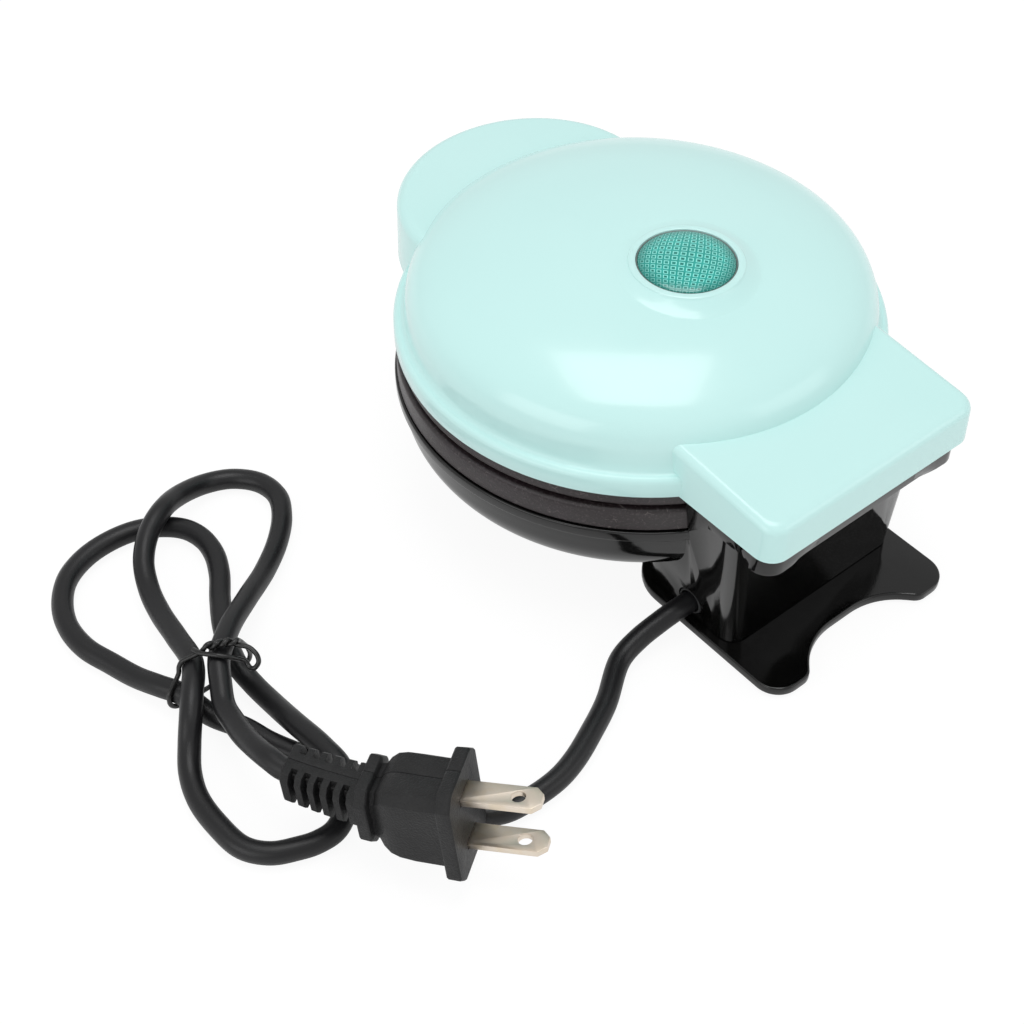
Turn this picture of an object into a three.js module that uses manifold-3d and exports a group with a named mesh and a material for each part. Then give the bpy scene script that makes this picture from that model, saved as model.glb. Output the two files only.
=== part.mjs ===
// Round mini waffle maker, millimetres, +Z up, standing on its rubber feet at z = 0.
// +Y is the rear, where the hinge is, -Y is the handle, and the cord leaves on the +X side.
import * as THREE from 'three'
import { mergeVertices } from 'three/addons/utils/BufferGeometryUtils.js'
import Module from 'manifold-3d'

const wasm = await Module()
wasm.setup()

// Driving dimensions: the lid's radius sets the plates, the base, the hinge's place and the foot, and its
// edge's height sets the height of everything that it closes on
const lidRadius = 61
const lidEdgeHeight = 45.7
const lidRise = 28.2
const shellWall = 2
const partingGap = 0.3
const runningGap = 0.3
const overrun = 5

// Lid: handle tab and hinge tab
const handleHalfWidth = 35
const handleProud = 14.6
const handleRoot = 18
const handleReach = lidRadius + handleProud
const handleCentreY = handleRoot - lidRadius
const handleTopRise = 16.8
const handleFillet = 3
const tabWidth = 67.3
const tabProud = 18.6
const tabRoot = 21
const tabEndY = lidRadius + tabProud
const tabFrontY = lidRadius - tabRoot
const tabRiseFront = 13.8
const tabRiseEnd = 10.2
const tabCorner = 5
const tabFillet = 2

// Lid: indicator window
const windowShare = 0.2377
const windowY = windowShare * lidRadius
const windowHoleRadius = 12
const windowLip = 1.9
const windowLipRadius = windowHoleRadius + windowLip
const windowLipProud = 0.5
const windowLipRise = lidRise + windowLipProud
const ringWall = 0.8
const ringRadius = windowHoleRadius - runningGap
const ringInnerRadius = ringRadius - ringWall
const ringTopRise = lidRise + runningGap
const ringFlangeWidth = 2
const ringFlangeRadius = windowHoleRadius + ringFlangeWidth
const ringFlangeInner = windowHoleRadius - ringFlangeWidth
const ringFlangeThickness = 1.2
const ringSeatGap = 0.2
const lensRadius = ringInnerRadius - runningGap
const lensWallRise = lidRise - runningGap
const lensDomeHeight = 1.9
const lampHolderRadius = windowHoleRadius - ringFlangeWidth - ringWall
const lampHolderDepth = 7.5
const lampHolderWall = 1.2
const lampRadius = 2.5
const lampLength = 12

// Cooking plates
const plateInset = 1
const plateRimRadius = lidRadius - plateInset
const rimStep = 3.7
const plateBodyRadius = plateRimRadius - rimStep
const rimLand = 9
const cookingRadius = plateRimRadius - rimLand
const cookingDepth = 5.1
const plateThickness = 2.5
const plateFacesGap = 0.7
const upperRimHeight = 3.5
const lowerRimHeight = 5.8
const pegBase = 9
const pegTop = 6.8
const pegHeight = 2.8
const pegPitch = 12.2
const pegSink = 0.5

// Heaters and reflectors
const elementRingRadius = 0.6 * plateRimRadius
const elementTubeRadius = 3.2
const elementGapAngle = 20
const elementDrop = 6
const reflectorRadius = plateRimRadius - 1.5 * shellWall
const reflectorThickness = 1
const reflectorPanRadius = cookingRadius - reflectorThickness
const reflectorDepth = 8
const earWidth = 9
const earProud = 8.5
const earReach = lidRadius + earProud

// Lower housing
const housingProud = 0.4
const housingRadius = lidRadius + housingProud
const housingRimDrop = 11.3
const housingRimHeight = lidEdgeHeight - housingRimDrop
const housingRimBand = 3
const bowlRise = 20.6
const blockHalfWidth = 32.6
const blockTaper = 4.3
const blockFootHalfWidth = blockHalfWidth - blockTaper
const blockRoot = 25
const blockProud = 7
const blockHornProud = 10
const blockFrontY = lidRadius - blockRoot
const blockRearY = lidRadius + blockProud
const blockHornY = lidRadius + blockHornProud
const blockCorner = 4.5
const columnHalfWidth = 14
const columnDepth = 18
const columnFrontY = -lidRadius / 2
const columnRearY = columnFrontY + columnDepth
const columnCorner = 4

// Hinge
const hingeProud = 11
const hingeY = lidRadius + hingeProud
const hingeDrop = 3.7
const hingeHeight = lidEdgeHeight - hingeDrop
const barrelRadius = 3.3
const lipReach = 5.8
const lipRearY = hingeY + lipReach
const lipHalfWidth = 32
const lipCorner = 6
const earPlateX = 20
const earPlateWidth = 5
const earPlateRadius = 2.9
const pinRadius = 1.5
const pinInnerX = 24.5
const pinOuterX = 31.4
const tongueThickness = 2

// Feet
const plateStand = 0.8
const footPlateThickness = 2.5
const rearFootHalfWidth = 30.6
const rearFootProud = 23.9
const rearFootRoot = 31
const rearFootEndY = lidRadius + rearFootProud
const rearFootFrontY = lidRadius - rearFootRoot
const rearFootFrontCorner = 13
const rearFootCorner = 6.5
const notchHalfWidth = 19.5
const notchFloorHalfWidth = 11.5
const notchDepth = 8.3
const notchRound = 19
const hornRound = 4
const frontFootMargin = 10
const frontFootRearMargin = 5
const frontFootHalfWidth = columnHalfWidth + frontFootMargin
const frontFootFrontY = columnFrontY - frontFootMargin
const frontFootRearY = columnRearY + frontFootRearMargin
const frontFootCorner = 10
const footPadRadius = 4.4
const footPadRecess = 1
const footPadMargin = 6
const rearPadX = rearFootHalfWidth - footPadMargin
const rearPadY = rearFootEndY - footPadMargin
const frontPadX = frontFootHalfWidth - footPadMargin
const frontPadY = frontFootFrontY + footPadMargin

// Screws and bosses
const screwHeadRadius = 2.5
const screwHeadHeight = 1.4
const screwShankRadius = 1.1
const screwHoleRadius = 1.4
const bossRadius = 3
const footScrewInset = 6.3
const footScrewSetback = 7
const footScrewX = blockFootHalfWidth - footScrewInset
const footScrewY = blockRearY - footScrewSetback
const frontScrewX = columnHalfWidth - footPadMargin
const frontScrewY = (columnFrontY + columnRearY) / 2
const footScrewLength = 11
const plateScrewInset = 5
const plateScrewRing = cookingRadius - plateScrewInset
const plateScrewLength = 15.5
const lowerScrewTurn = 30
const upperScrewTurn = 90
const upperScrewRing = plateRimRadius - 3 * shellWall
const upperScrewLength = 3.6
const earScrewLength = 7
const coverScrewSide = 4
const coverScrewSetback = 4.3
const coverScrewX = lipHalfWidth - coverScrewSide
const coverScrewY = tabEndY - coverScrewSetback
const coverScrewLength = 12
const coverScrewSlimness = 0.85
const handleScrewInset = 16
const handleScrewX = handleHalfWidth - handleScrewInset
const handleScrewSetback = 11.6
const handleScrewY = handleScrewSetback - handleReach
const handleScrewLength = 8
const handleCoverThickness = 2

// Inside the pedestal
const terminalWidth = 20
const terminalDepth = 11
const terminalHeight = 9
const terminalSetback = 13
const terminalY = blockRearY - terminalSetback
const thermostatRadius = 7
const thermostatHeight = 5.6
const thermostatY = 12
const fuseRadius = 1.8
const fuseLength = 13
const fuseX = 20
const fuseY = -8
const leadRadius = 1.1

// Cord, bushing, tie and plug
const cordRadius = 2.7
const cordExitSetback = 15.1
const cordExitY = blockRearY - cordExitSetback
const cordExitHeight = 8.3
const bushingFlangeRadius = 4.9
const bushingNeckRadius = 4
const bushingFlange = 1.5
const bushingProud = 2.7
const bushingLength = 7
const bushingReach = blockFootHalfWidth + bushingProud
const bushingInnerX = bushingReach - bushingLength
const tieWireRadius = 0.75
const plugOut = 81.5
const plugBack = 20.2
const plugHeight = 18.8
const plugYaw = 126.9
const plugPitch = -8.9
const plugRoll = -81.6
const plugLength = 41
const plugFlangeWidth = 25.5
const plugFlangeHeight = 20
const plugNeckBend = 4
const plugNeckShare = 0.434
const plugBoreRadius = 3.4
const plugBoreDepth = 2.2
const bladeSpacing = 12.7
const bladeThickness = 1.5
const bladeWidth = 6.35
const bladeReach = 16.5
const bladeSunk = 2.7
const bladeTipCut = 1.8
const bladeHoleRadius = 1.6
const bladeHoleReach = 11.3

// Finishes
const finish = {
  aqua: { color: 0x5fd9cf, roughness: 0.22, metalness: 0 },
  black: { color: 0x151517, roughness: 0.2, metalness: 0 },
  blackMatt: { color: 0x1c1c1e, roughness: 0.6, metalness: 0 },
  nonStick: { color: 0x2a221e, roughness: 0.45, metalness: 0.3 },
  steel: { color: 0xb9bcc0, roughness: 0.35, metalness: 1 },
  lens: { color: 0x0a6a52, roughness: 0.15, metalness: 0 },
  glass: { color: 0xd9c9b0, roughness: 0.1, metalness: 0 },
  rubber: { color: 0x202022, roughness: 0.85, metalness: 0 },
  ceramic: { color: 0xe4e0d6, roughness: 0.7, metalness: 0 },
  white: { color: 0xdcdcd8, roughness: 0.5, metalness: 0 },
  nickel: { color: 0xc9c4b8, roughness: 0.28, metalness: 1 },
}

// Dome outline from the lower edge to the top, as shares of the radius and of the rise.
const domeShares = [
  [1, 0], [1, 0.152], [0.995, 0.177], [0.984, 0.195], [0.97, 0.202], [0.961, 0.216], [0.956, 0.248],
  [0.952, 0.319], [0.946, 0.408], [0.934, 0.486], [0.916, 0.557], [0.889, 0.624], [0.839, 0.702],
  [0.754, 0.784], [0.631, 0.862], [0.492, 0.918], [0.328, 0.966], [0.164, 0.992], [0, 1],
]

// The dome's rise above the lid's edge at a distance from its axis.
function domeRiseAt(radius) {
  const share = radius / lidRadius
  const inner = domeShares.findIndex(([r]) => r <= share)
  const [r0, z0] = domeShares[inner]
  const [r1, z1] = domeShares[inner - 1]
  return lidRise * (z0 + (z1 - z0) * (share - r0) / (r1 - r0))
}

// Worked out from the sizes above
const ringFlangeRise = domeRiseAt(windowY + ringFlangeRadius) - shellWall - ringSeatGap - ringFlangeThickness
const domeTop = lidEdgeHeight + lidRise
const upperRimTop = lidEdgeHeight - partingGap
const upperRimBottom = upperRimTop - upperRimHeight
const lowerRimTop = upperRimBottom - plateFacesGap
const lowerRimBottom = lowerRimTop - lowerRimHeight
const upperFloor = upperRimBottom + cookingDepth
const lowerFloor = lowerRimTop - cookingDepth
const upperBack = upperFloor + plateThickness
const lowerBack = lowerFloor - plateThickness
const bowlBottom = housingRimHeight - bowlRise
const footPlateTop = plateStand + footPlateThickness
const housingBottom = footPlateTop + partingGap
const blockTop = lidEdgeHeight - partingGap
const upperElementZ = upperBack + runningGap + elementTubeRadius
const lowerElementZ = lowerBack - runningGap - elementTubeRadius
const upperReflectorZ = upperBack + runningGap
const lowerReflectorZ = lowerBack - runningGap
const postTop = lowerReflectorZ - reflectorDepth - reflectorThickness - runningGap

// Geometry helpers

function toSolid(geometry) {
  const plain = geometry.clone()
  plain.deleteAttribute('normal')
  plain.deleteAttribute('uv')
  const merged = mergeVertices(plain, 1e-4)
  const index = merged.index.array
  const triangles = []
  for (let i = 0; i < index.length; i += 3) {
    const [a, b, c] = [index[i], index[i + 1], index[i + 2]]
    if (a !== b && b !== c && c !== a) triangles.push(a, b, c)
  }
  const vertProperties = new Float32Array(merged.attributes.position.array)
  const triVerts = new Uint32Array(triangles)
  return new wasm.Manifold(new wasm.Mesh({ numProp: 3, vertProperties, triVerts }))
}

function toGeometry(solid) {
  const mesh = solid.getMesh()
  const geometry = new THREE.BufferGeometry()
  geometry.setAttribute('position', new THREE.BufferAttribute(new Float32Array(mesh.vertProperties), 3))
  geometry.setIndex(new THREE.BufferAttribute(new Uint32Array(mesh.triVerts), 1))
  geometry.computeVertexNormals()
  return geometry
}

const join = (...solids) => solids.reduce((a, b) => a.add(b))
const cut = (solid, ...tools) => tools.reduce((a, b) => a.subtract(b), solid)

function boxSolid(x0, x1, y0, y1, z0, z1) {
  const geometry = new THREE.BoxGeometry(x1 - x0, y1 - y0, z1 - z0)
  return toSolid(geometry.translate((x0 + x1) / 2, (y0 + y1) / 2, (z0 + z1) / 2))
}

function rodSolid(radius, x, y, z0, z1, sides = 24) {
  const geometry = new THREE.CylinderGeometry(radius, radius, z1 - z0, sides)
  geometry.rotateX(Math.PI / 2)
  return toSolid(geometry.translate(x, y, (z0 + z1) / 2))
}

// A round bar along X at a place in the YZ plane.
function crossRodSolid(radius, x0, x1, y, z, sides = 24) {
  const geometry = new THREE.CylinderGeometry(radius, radius, x1 - x0, sides)
  geometry.rotateZ(Math.PI / 2)
  return toSolid(geometry.translate((x0 + x1) / 2, y, z))
}

// A closed profile of [radius, height] pairs turned about a vertical axis.
function turnedGeometry(profile, x = 0, y = 0, sides = 64) {
  const points = profile.map(([r, z]) => new THREE.Vector2(r, z))
  if (THREE.ShapeUtils.area(points) < 0) points.reverse()
  if (points[0].x > 0 || points[points.length - 1].x > 0) points.push(points[0].clone())
  const geometry = new THREE.LatheGeometry(points, sides)
  geometry.rotateX(Math.PI / 2)
  return geometry.translate(x, y, 0)
}

const turnedSolid = (profile, x, y, sides) => toSolid(turnedGeometry(profile, x, y, sides))

// A polygon whose corners are rounded: each point is [x, y, radius].
function roundedShape(corners, steps = 4) {
  const shape = new THREE.Shape()
  const outline = []
  corners.forEach(([x, y, radius], i) => {
    const here = new THREE.Vector2(x, y)
    const before = corners[(i + corners.length - 1) % corners.length]
    const after = corners[(i + 1) % corners.length]
    const inward = new THREE.Vector2(before[0], before[1]).sub(here).normalize()
    const outward = new THREE.Vector2(after[0], after[1]).sub(here).normalize()
    if (!radius) {
      outline.push(here)
      return
    }
    const half = Math.acos(THREE.MathUtils.clamp(inward.dot(outward), -1, 1)) / 2
    const reach = radius / Math.tan(half)
    const centre = inward.clone().add(outward).normalize().multiplyScalar(radius / Math.sin(half)).add(here)
    const start = here.clone().addScaledVector(inward, reach).sub(centre)
    const end = here.clone().addScaledVector(outward, reach).sub(centre)
    let turn = end.angle() - start.angle()
    if (turn > Math.PI) turn -= 2 * Math.PI
    if (turn < -Math.PI) turn += 2 * Math.PI
    for (let k = 0; k <= steps; k++) {
      const angle = start.angle() + (turn * k) / steps
      outline.push(new THREE.Vector2(Math.cos(angle), Math.sin(angle)).multiplyScalar(radius).add(centre))
    }
  })
  shape.setFromPoints(outline)
  return shape
}

function slabGeometry(shape, z0, z1) {
  return new THREE.ExtrudeGeometry(shape, { depth: z1 - z0, bevelEnabled: false }).translate(0, 0, z0)
}

const slabSolid = (shape, z0, z1) => toSolid(slabGeometry(shape, z0, z1))

// A YZ profile, each point [y, z, radius], drawn across from x0 to x1.
function acrossSolid(profile, x0, x1) {
  const geometry = slabGeometry(roundedShape(profile), x0, x1)
  const turn = new THREE.Matrix4().makeBasis(
    new THREE.Vector3(0, 1, 0), new THREE.Vector3(0, 0, 1), new THREE.Vector3(1, 0, 0))
  return toSolid(geometry.applyMatrix4(turn))
}

// An XZ profile, each point [x, z, radius], drawn back from y0 to y1.
function alongSolid(profile, y0, y1) {
  const geometry = slabGeometry(roundedShape(profile), 0, y1 - y0)
  const turn = new THREE.Matrix4().makeBasis(
    new THREE.Vector3(1, 0, 0), new THREE.Vector3(0, 0, 1), new THREE.Vector3(0, -1, 0))
  return toSolid(geometry.applyMatrix4(turn).translate(0, y1, 0))
}

function rectangle(x0, x1, y0, y1, radius) {
  return roundedShape([[x0, y0, radius], [x1, y0, radius], [x1, y1, radius], [x0, y1, radius]])
}

function tubeGeometry(points, radius, steps, sides = 8) {
  const path = new THREE.CatmullRomCurve3(points.map((p) => new THREE.Vector3(...p)), false, 'centripetal')
  const section = new THREE.Shape()
  const ring = []
  for (let k = 0; k < sides; k++) {
    const angle = (2 * Math.PI * k) / sides
    ring.push(new THREE.Vector2(radius * Math.cos(angle), radius * Math.sin(angle)))
  }
  section.setFromPoints(ring)
  return new THREE.ExtrudeGeometry(section, { steps, extrudePath: path, bevelEnabled: false })
}

// Rounded rectangles, each { z, w, h, r }, joined into one closed skin.
function loftGeometry(sections, cornerSteps = 3) {
  const rings = sections.map(({ x = 0, z, w, h, r }) => {
    const corners = [[-w / 2, -h / 2, r], [w / 2, -h / 2, r], [w / 2, h / 2, r], [-w / 2, h / 2, r]]
    return roundedShape(corners, cornerSteps).getPoints(1).map((p) => [p.x + x, p.y, z])
  })
  const count = rings[0].length
  const positions = rings.flat(2)
  const index = []
  for (let s = 0; s + 1 < rings.length; s++) {
    for (let k = 0; k < count; k++) {
      const a = s * count + k
      const b = s * count + ((k + 1) % count)
      index.push(a, b, b + count, a, b + count, a + count)
    }
  }
  const last = (rings.length - 1) * count
  for (let k = 1; k + 1 < count; k++) {
    index.push(0, k + 1, k)
    index.push(last, last + k, last + k + 1)
  }
  const geometry = new THREE.BufferGeometry()
  geometry.setAttribute('position', new THREE.BufferAttribute(new Float32Array(positions), 3))
  geometry.setIndex(index)
  return geometry
}

const model = new THREE.Group()

function addPart(parent, name, shape, look) {
  const geometry = shape.isBufferGeometry ? shape : toGeometry(shape)
  const mesh = new THREE.Mesh(geometry, new THREE.MeshStandardMaterial({ ...look, name }))
  mesh.name = name
  parent.add(mesh)
  return mesh
}

// A pan-head screw along Z: the head starts at z and the shank runs on by length, up or down.
function screwGeometry(x, y, z, length, up) {
  const sign = up ? 1 : -1
  const neck = z + sign * screwHeadHeight
  const tip = neck + sign * length
  const profile = [[0, z], [screwHeadRadius, z], [screwHeadRadius, neck],
    [screwShankRadius, neck], [screwShankRadius, tip - sign * screwShankRadius], [0, tip]]
  return turnedGeometry(profile, x, y, 9)
}

// Lid shell


function domeProfile(inset) {
  const outer = domeShares.map(([r, z]) => [r * lidRadius, lidEdgeHeight + z * lidRise])
  if (!inset) return [[0, lidEdgeHeight], ...outer]
  const start = domeShares.findIndex(([r, z]) => r < domeShares[4][0] && z > domeShares[4][1])
  const inner = outer.slice(start + 2).map(([r, z], i, list) => {
    const before = list[Math.max(i - 1, 0)]
    const after = list[Math.min(i + 1, list.length - 1)]
    const slope = new THREE.Vector2(after[0] - before[0], after[1] - before[1]).normalize()
    return [Math.max(r - inset * slope.y, 0), z + inset * slope.x]
  })
  inner[inner.length - 1][0] = 0
  const rim = lidRadius - inset
  const bandTop = outer[1][1] - inset / 2
  return [[0, lidEdgeHeight - overrun], [rim, lidEdgeHeight - overrun], [rim, bandTop], ...inner]
}

// The handle tab's outline: half an ellipse in front and straight sides into the dome.
function handleShape(inset) {
  const steps = 16
  const outline = []
  for (let k = 0; k <= steps; k++) {
    const angle = Math.PI + (Math.PI * k) / steps
    const x = (handleHalfWidth - inset) * Math.cos(angle)
    const y = handleCentreY + (handleReach + handleCentreY - inset) * Math.sin(angle)
    outline.push(new THREE.Vector2(x, y))
  }
  const backY = handleCentreY / 2
  outline.push(new THREE.Vector2(handleHalfWidth - inset, backY))
  outline.push(new THREE.Vector2(inset - handleHalfWidth, backY))
  return new THREE.Shape(outline)
}

function handleSolid(inset, bottom) {
  const fillet = Math.max(handleFillet - inset, handleFillet / 4)
  const top = lidEdgeHeight + handleTopRise - inset
  const geometry = new THREE.ExtrudeGeometry(handleShape(inset), {
    depth: top - bottom, bevelEnabled: true, bevelSegments: 2,
    bevelSize: fillet, bevelOffset: -fillet, bevelThickness: fillet,
  })
  const raised = toSolid(geometry.translate(0, 0, bottom - fillet))
  return raised.intersect(boxSolid(-lidRadius, lidRadius, -2 * lidRadius, 0, bottom, top))
}

function tabSolid(inset, bottom) {
  const half = tabWidth / 2 - inset
  const end = tabEndY - inset
  const fillet = Math.max(tabFillet - inset, tabFillet / 4)
  const front = lidEdgeHeight + tabRiseFront - inset
  const back = lidEdgeHeight + tabRiseEnd - inset
  const side = acrossSolid([[tabFrontY, bottom, 0], [end, bottom, 0], [end, back, fillet],
    [tabFrontY, front, 0]], -half, half)
  const corner = tabCorner - inset
  const plan = roundedShape([[-half, tabFrontY, 0], [half, tabFrontY, 0], [half, end, corner], [-half, end, corner]])
  return side.intersect(slabSolid(plan, bottom - overrun, front + overrun))
}

function makeLidShell() {
  const lip = rodSolid(windowLipRadius, 0, windowY, domeTop - lidRise / 4, lidEdgeHeight + windowLipRise, 28)
  const outer = join(
    turnedSolid(domeProfile(0), 0, 0, 52), handleSolid(0, lidEdgeHeight), tabSolid(0, lidEdgeHeight), lip)
  const below = lidEdgeHeight - overrun
  const inner = join(
    turnedSolid(domeProfile(shellWall), 0, 0, 40), handleSolid(shellWall, below), tabSolid(shellWall, below))
  const hole = rodSolid(windowHoleRadius, 0, windowY, lidEdgeHeight, domeTop + overrun, 28)
  const bosses = lidBossPlaces().map(([x, y, bottom, top]) => rodSolid(bossRadius, x, y, bottom, top, 14))
  const pilots = lidBossPlaces().map(([x, y, bottom, , deep]) =>
    rodSolid(screwHoleRadius, x, y, bottom - overrun, bottom + deep, 10))
  return cut(join(cut(outer, inner), ...bosses), hole, ...pilots)
}

const handleCoverTop = lidEdgeHeight + runningGap + handleCoverThickness
const tongueTop = lidEdgeHeight + tongueThickness
const earTop = upperReflectorZ + reflectorThickness

function lidBossPlaces() {
  const handleCeiling = lidEdgeHeight + handleTopRise - shellWall / 2
  const tabCeiling = lidEdgeHeight + tabRiseEnd - shellWall / 2
  const places = []
  for (const x of [-handleScrewX, handleScrewX]) {
    places.push([x, handleScrewY, handleCoverTop + runningGap, handleCeiling, handleScrewLength])
  }
  for (const x of [-coverScrewX, coverScrewX]) {
    places.push([x, coverScrewY - runningGap, tongueTop + runningGap, tabCeiling, coverScrewLength / 2])
  }
  for (const [x, y] of earScrewPlaces()) {
    const ceiling = y < 0 ? handleCeiling : tabCeiling + shellWall / 4
    places.push([x, y, earTop + runningGap, ceiling, y < 0 ? earScrewLength : earScrewLength / 2])
  }
  return places
}

function earScrewPlaces() {
  const y = earReach - earWidth / 2
  return [[0, -y], [-earPlateX / 2, y], [earPlateX / 2, y]]
}

const lid = new THREE.Group()
model.add(lid)
addPart(lid, 'lid_shell', makeLidShell(), finish.aqua)

// Indicator window

function makeLensRing() {
  const low = lidEdgeHeight + ringFlangeRise
  const seat = low + ringFlangeThickness
  const top = lidEdgeHeight + ringTopRise
  return turnedSolid([[ringFlangeInner, low], [ringFlangeRadius, low], [ringFlangeRadius, seat],
    [ringRadius, seat], [ringRadius, top], [ringInnerRadius, top], [ringInnerRadius, seat], [ringFlangeInner, seat]],
  0, windowY, 28)
}

function makeLens() {
  const bottom = lidEdgeHeight + ringFlangeRise + ringFlangeThickness + runningGap
  const wallTop = lidEdgeHeight + lensWallRise
  const profile = [[0, bottom], [lensRadius, bottom]]
  const steps = 5
  for (let k = 0; k <= steps; k++) {
    const angle = (Math.PI / 2) * (k / steps)
    profile.push([lensRadius * Math.cos(angle), wallTop + lensDomeHeight * Math.sin(angle)])
  }
  profile[profile.length - 1][0] = 0
  return turnedSolid(profile, 0, windowY, 28)
}

function makeLampHolder() {
  const top = lidEdgeHeight + ringFlangeRise - runningGap
  const bottom = top - lampHolderDepth
  const floor = bottom + lampHolderWall
  const bore = lampHolderRadius - lampHolderWall
  return turnedSolid([[0, bottom], [lampHolderRadius, bottom], [lampHolderRadius, top], [bore, top],
    [bore, floor], [0, floor]], 0, windowY, 28)
}

function makeLamp() {
  const z = lidEdgeHeight + ringFlangeRise - lampHolderDepth + lampHolderWall + lampRadius
  return crossRodSolid(lampRadius, -lampLength / 2, lampLength / 2, windowY, z, 14)
}

addPart(lid, 'lens', makeLens(), finish.lens)
addPart(lid, 'lens_ring', makeLensRing(), finish.blackMatt)
addPart(lid, 'lamp_holder', makeLampHolder(), finish.white)
addPart(lid, 'indicator_lamp', makeLamp(), finish.glass)

// Cooking plates: a dished disc with square pegs that form the waffle's pockets

function pegPlaces() {
  const places = []
  const count = Math.floor(cookingRadius / pegPitch)
  for (let i = -count; i <= count; i++) {
    for (let j = -count; j <= count; j++) {
      const x = i * pegPitch
      const y = j * pegPitch
      if (Math.hypot(Math.abs(x) + pegBase / 2, Math.abs(y) + pegBase / 2) < cookingRadius) places.push([x, y])
    }
  }
  return places
}

// Made as the lower plate, facing up with its rim top at z = 0; mirrored for the upper one.
function plateSolid(rimHeight) {
  const floor = -cookingDepth
  const back = floor - plateThickness
  const dish = turnedSolid([[0, back], [plateBodyRadius, back], [plateBodyRadius, -rimHeight],
    [plateRimRadius, -rimHeight], [plateRimRadius, 0], [cookingRadius, 0],
    [cookingRadius - cookingDepth / 3, floor], [0, floor]], 0, 0, 40)
  const side = Math.SQRT1_2
  const pegs = pegPlaces().map(([x, y]) => {
    const geometry = new THREE.CylinderGeometry(pegTop * side, pegBase * side, pegHeight + pegSink, 4)
    geometry.rotateX(Math.PI / 2).rotateZ(Math.PI / 4)
    return toSolid(geometry.translate(x, y, floor + (pegHeight - pegSink) / 2))
  })
  return join(dish, ...pegs)
}

function studSolid([x, y], z0, z1) {
  return rodSolid(bossRadius, x, y, z0, z1, 14)
}

function ringPlaces(radius, start) {
  return [0, 1, 2].map((k) => {
    const angle = ((start + 120 * k) * Math.PI) / 180
    return [radius * Math.cos(angle), radius * Math.sin(angle)]
  })
}

const lowerScrewPlaces = ringPlaces(plateScrewRing, lowerScrewTurn)
const upperScrewPlaces = ringPlaces(upperScrewRing, upperScrewTurn)
const studDepth = plateThickness / 2

function makeLowerPlate() {
  const plate = plateSolid(lowerRimHeight).translate([0, 0, lowerRimTop])
  const stud = lowerScrewPlaces.map((place) => studSolid(place, postTop + runningGap, lowerBack + studDepth))
  const hole = lowerScrewPlaces.map(([x, y]) =>
    rodSolid(screwHoleRadius, x, y, postTop - overrun, lowerBack, 10))
  return cut(join(plate, ...stud), ...hole)
}

function makeUpperPlate() {
  const plate = plateSolid(upperRimHeight).mirror([0, 0, 1]).translate([0, 0, upperRimBottom])
  const hole = upperScrewPlaces.map(([x, y]) =>
    rodSolid(screwHoleRadius, x, y, upperBack - 2 * studDepth, upperBack + overrun, 10))
  const pads = upperScrewPlaces.map((place) => studSolid(place, upperRimBottom + upperRimHeight / 2, upperBack))
  return cut(join(plate, ...pads), ...hole)
}

addPart(model, 'lower_plate', makeLowerPlate(), finish.nonStick)
addPart(lid, 'upper_plate', makeUpperPlate(), finish.nonStick)

// Heating elements: an open ring of sheathed tube whose two ends turn away from the plate

function elementGeometry(z, away) {
  const points = []
  const steps = 22
  const start = 90 + elementGapAngle
  const sweep = 360 - 2 * elementGapAngle
  const at = (angle, drop) => {
    const turn = (angle * Math.PI) / 180
    return [elementRingRadius * Math.cos(turn), elementRingRadius * Math.sin(turn), z + away * drop]
  }
  points.push(at(start, elementDrop), at(start, elementDrop / 2))
  for (let k = 1; k < steps; k++) points.push(at(start + (sweep * k) / steps, 0))
  points.push(at(start + sweep, elementDrop / 2), at(start + sweep, elementDrop))
  return tubeGeometry(points, elementTubeRadius, 30, 7)
}

addPart(model, 'lower_element', elementGeometry(lowerElementZ, -1), finish.steel)
addPart(lid, 'upper_element', elementGeometry(upperElementZ, 1), finish.steel)

// Reflectors: a steel hat behind each element, with holes for the element's ends

function reflectorSolid(sign, z, panHole) {
  const t = sign * reflectorThickness
  const deep = sign * reflectorDepth
  const profile = [[0, z + deep], [reflectorPanRadius, z + deep], [reflectorPanRadius, z],
    [reflectorRadius, z], [reflectorRadius, z + t], [reflectorPanRadius + reflectorThickness, z + t],
    [reflectorPanRadius + reflectorThickness, z + deep + t], [0, z + deep + t]]
  const low = Math.min(z + deep, z + deep + t) - overrun
  const high = Math.max(z + deep, z + deep + t) + overrun
  const ends = [-1, 1].map((side) => {
    const turn = ((90 + side * elementGapAngle) * Math.PI) / 180
    const [x, y] = [elementRingRadius * Math.cos(turn), elementRingRadius * Math.sin(turn)]
    return rodSolid(elementTubeRadius * 2, x, y, low, high, 14)
  })
  return cut(turnedSolid(profile, 0, 0, 30), ...ends, ...panHole)
}

function makeLowerReflector() {
  const holes = lowerScrewPlaces.map(([x, y]) => rodSolid(bossRadius + runningGap, x, y, bowlBottom, lowerBack, 14))
  return reflectorSolid(-1, lowerReflectorZ, holes)
}

function makeUpperReflector() {
  const hat = reflectorSolid(1, upperReflectorZ, [])
  const mid = (reflectorRadius + reflectorPanRadius) / 2
  const ears = earScrewPlaces().map(([x, y]) => {
    const [y0, y1] = y < 0 ? [-earReach, -mid] : [mid, earReach]
    return boxSolid(x - earWidth / 2, x + earWidth / 2, y0, y1, upperReflectorZ, earTop)
  })
  const holes = [...earScrewPlaces(), ...upperScrewPlaces].map(([x, y]) =>
    rodSolid(screwHoleRadius, x, y, upperReflectorZ - overrun, earTop + overrun / 2, 10))
  return cut(join(hat, ...ears), ...holes)
}

addPart(model, 'lower_reflector', makeLowerReflector(), finish.steel)
addPart(lid, 'upper_reflector', makeUpperReflector(), finish.steel)

// Screws of the two cooking units

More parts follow.
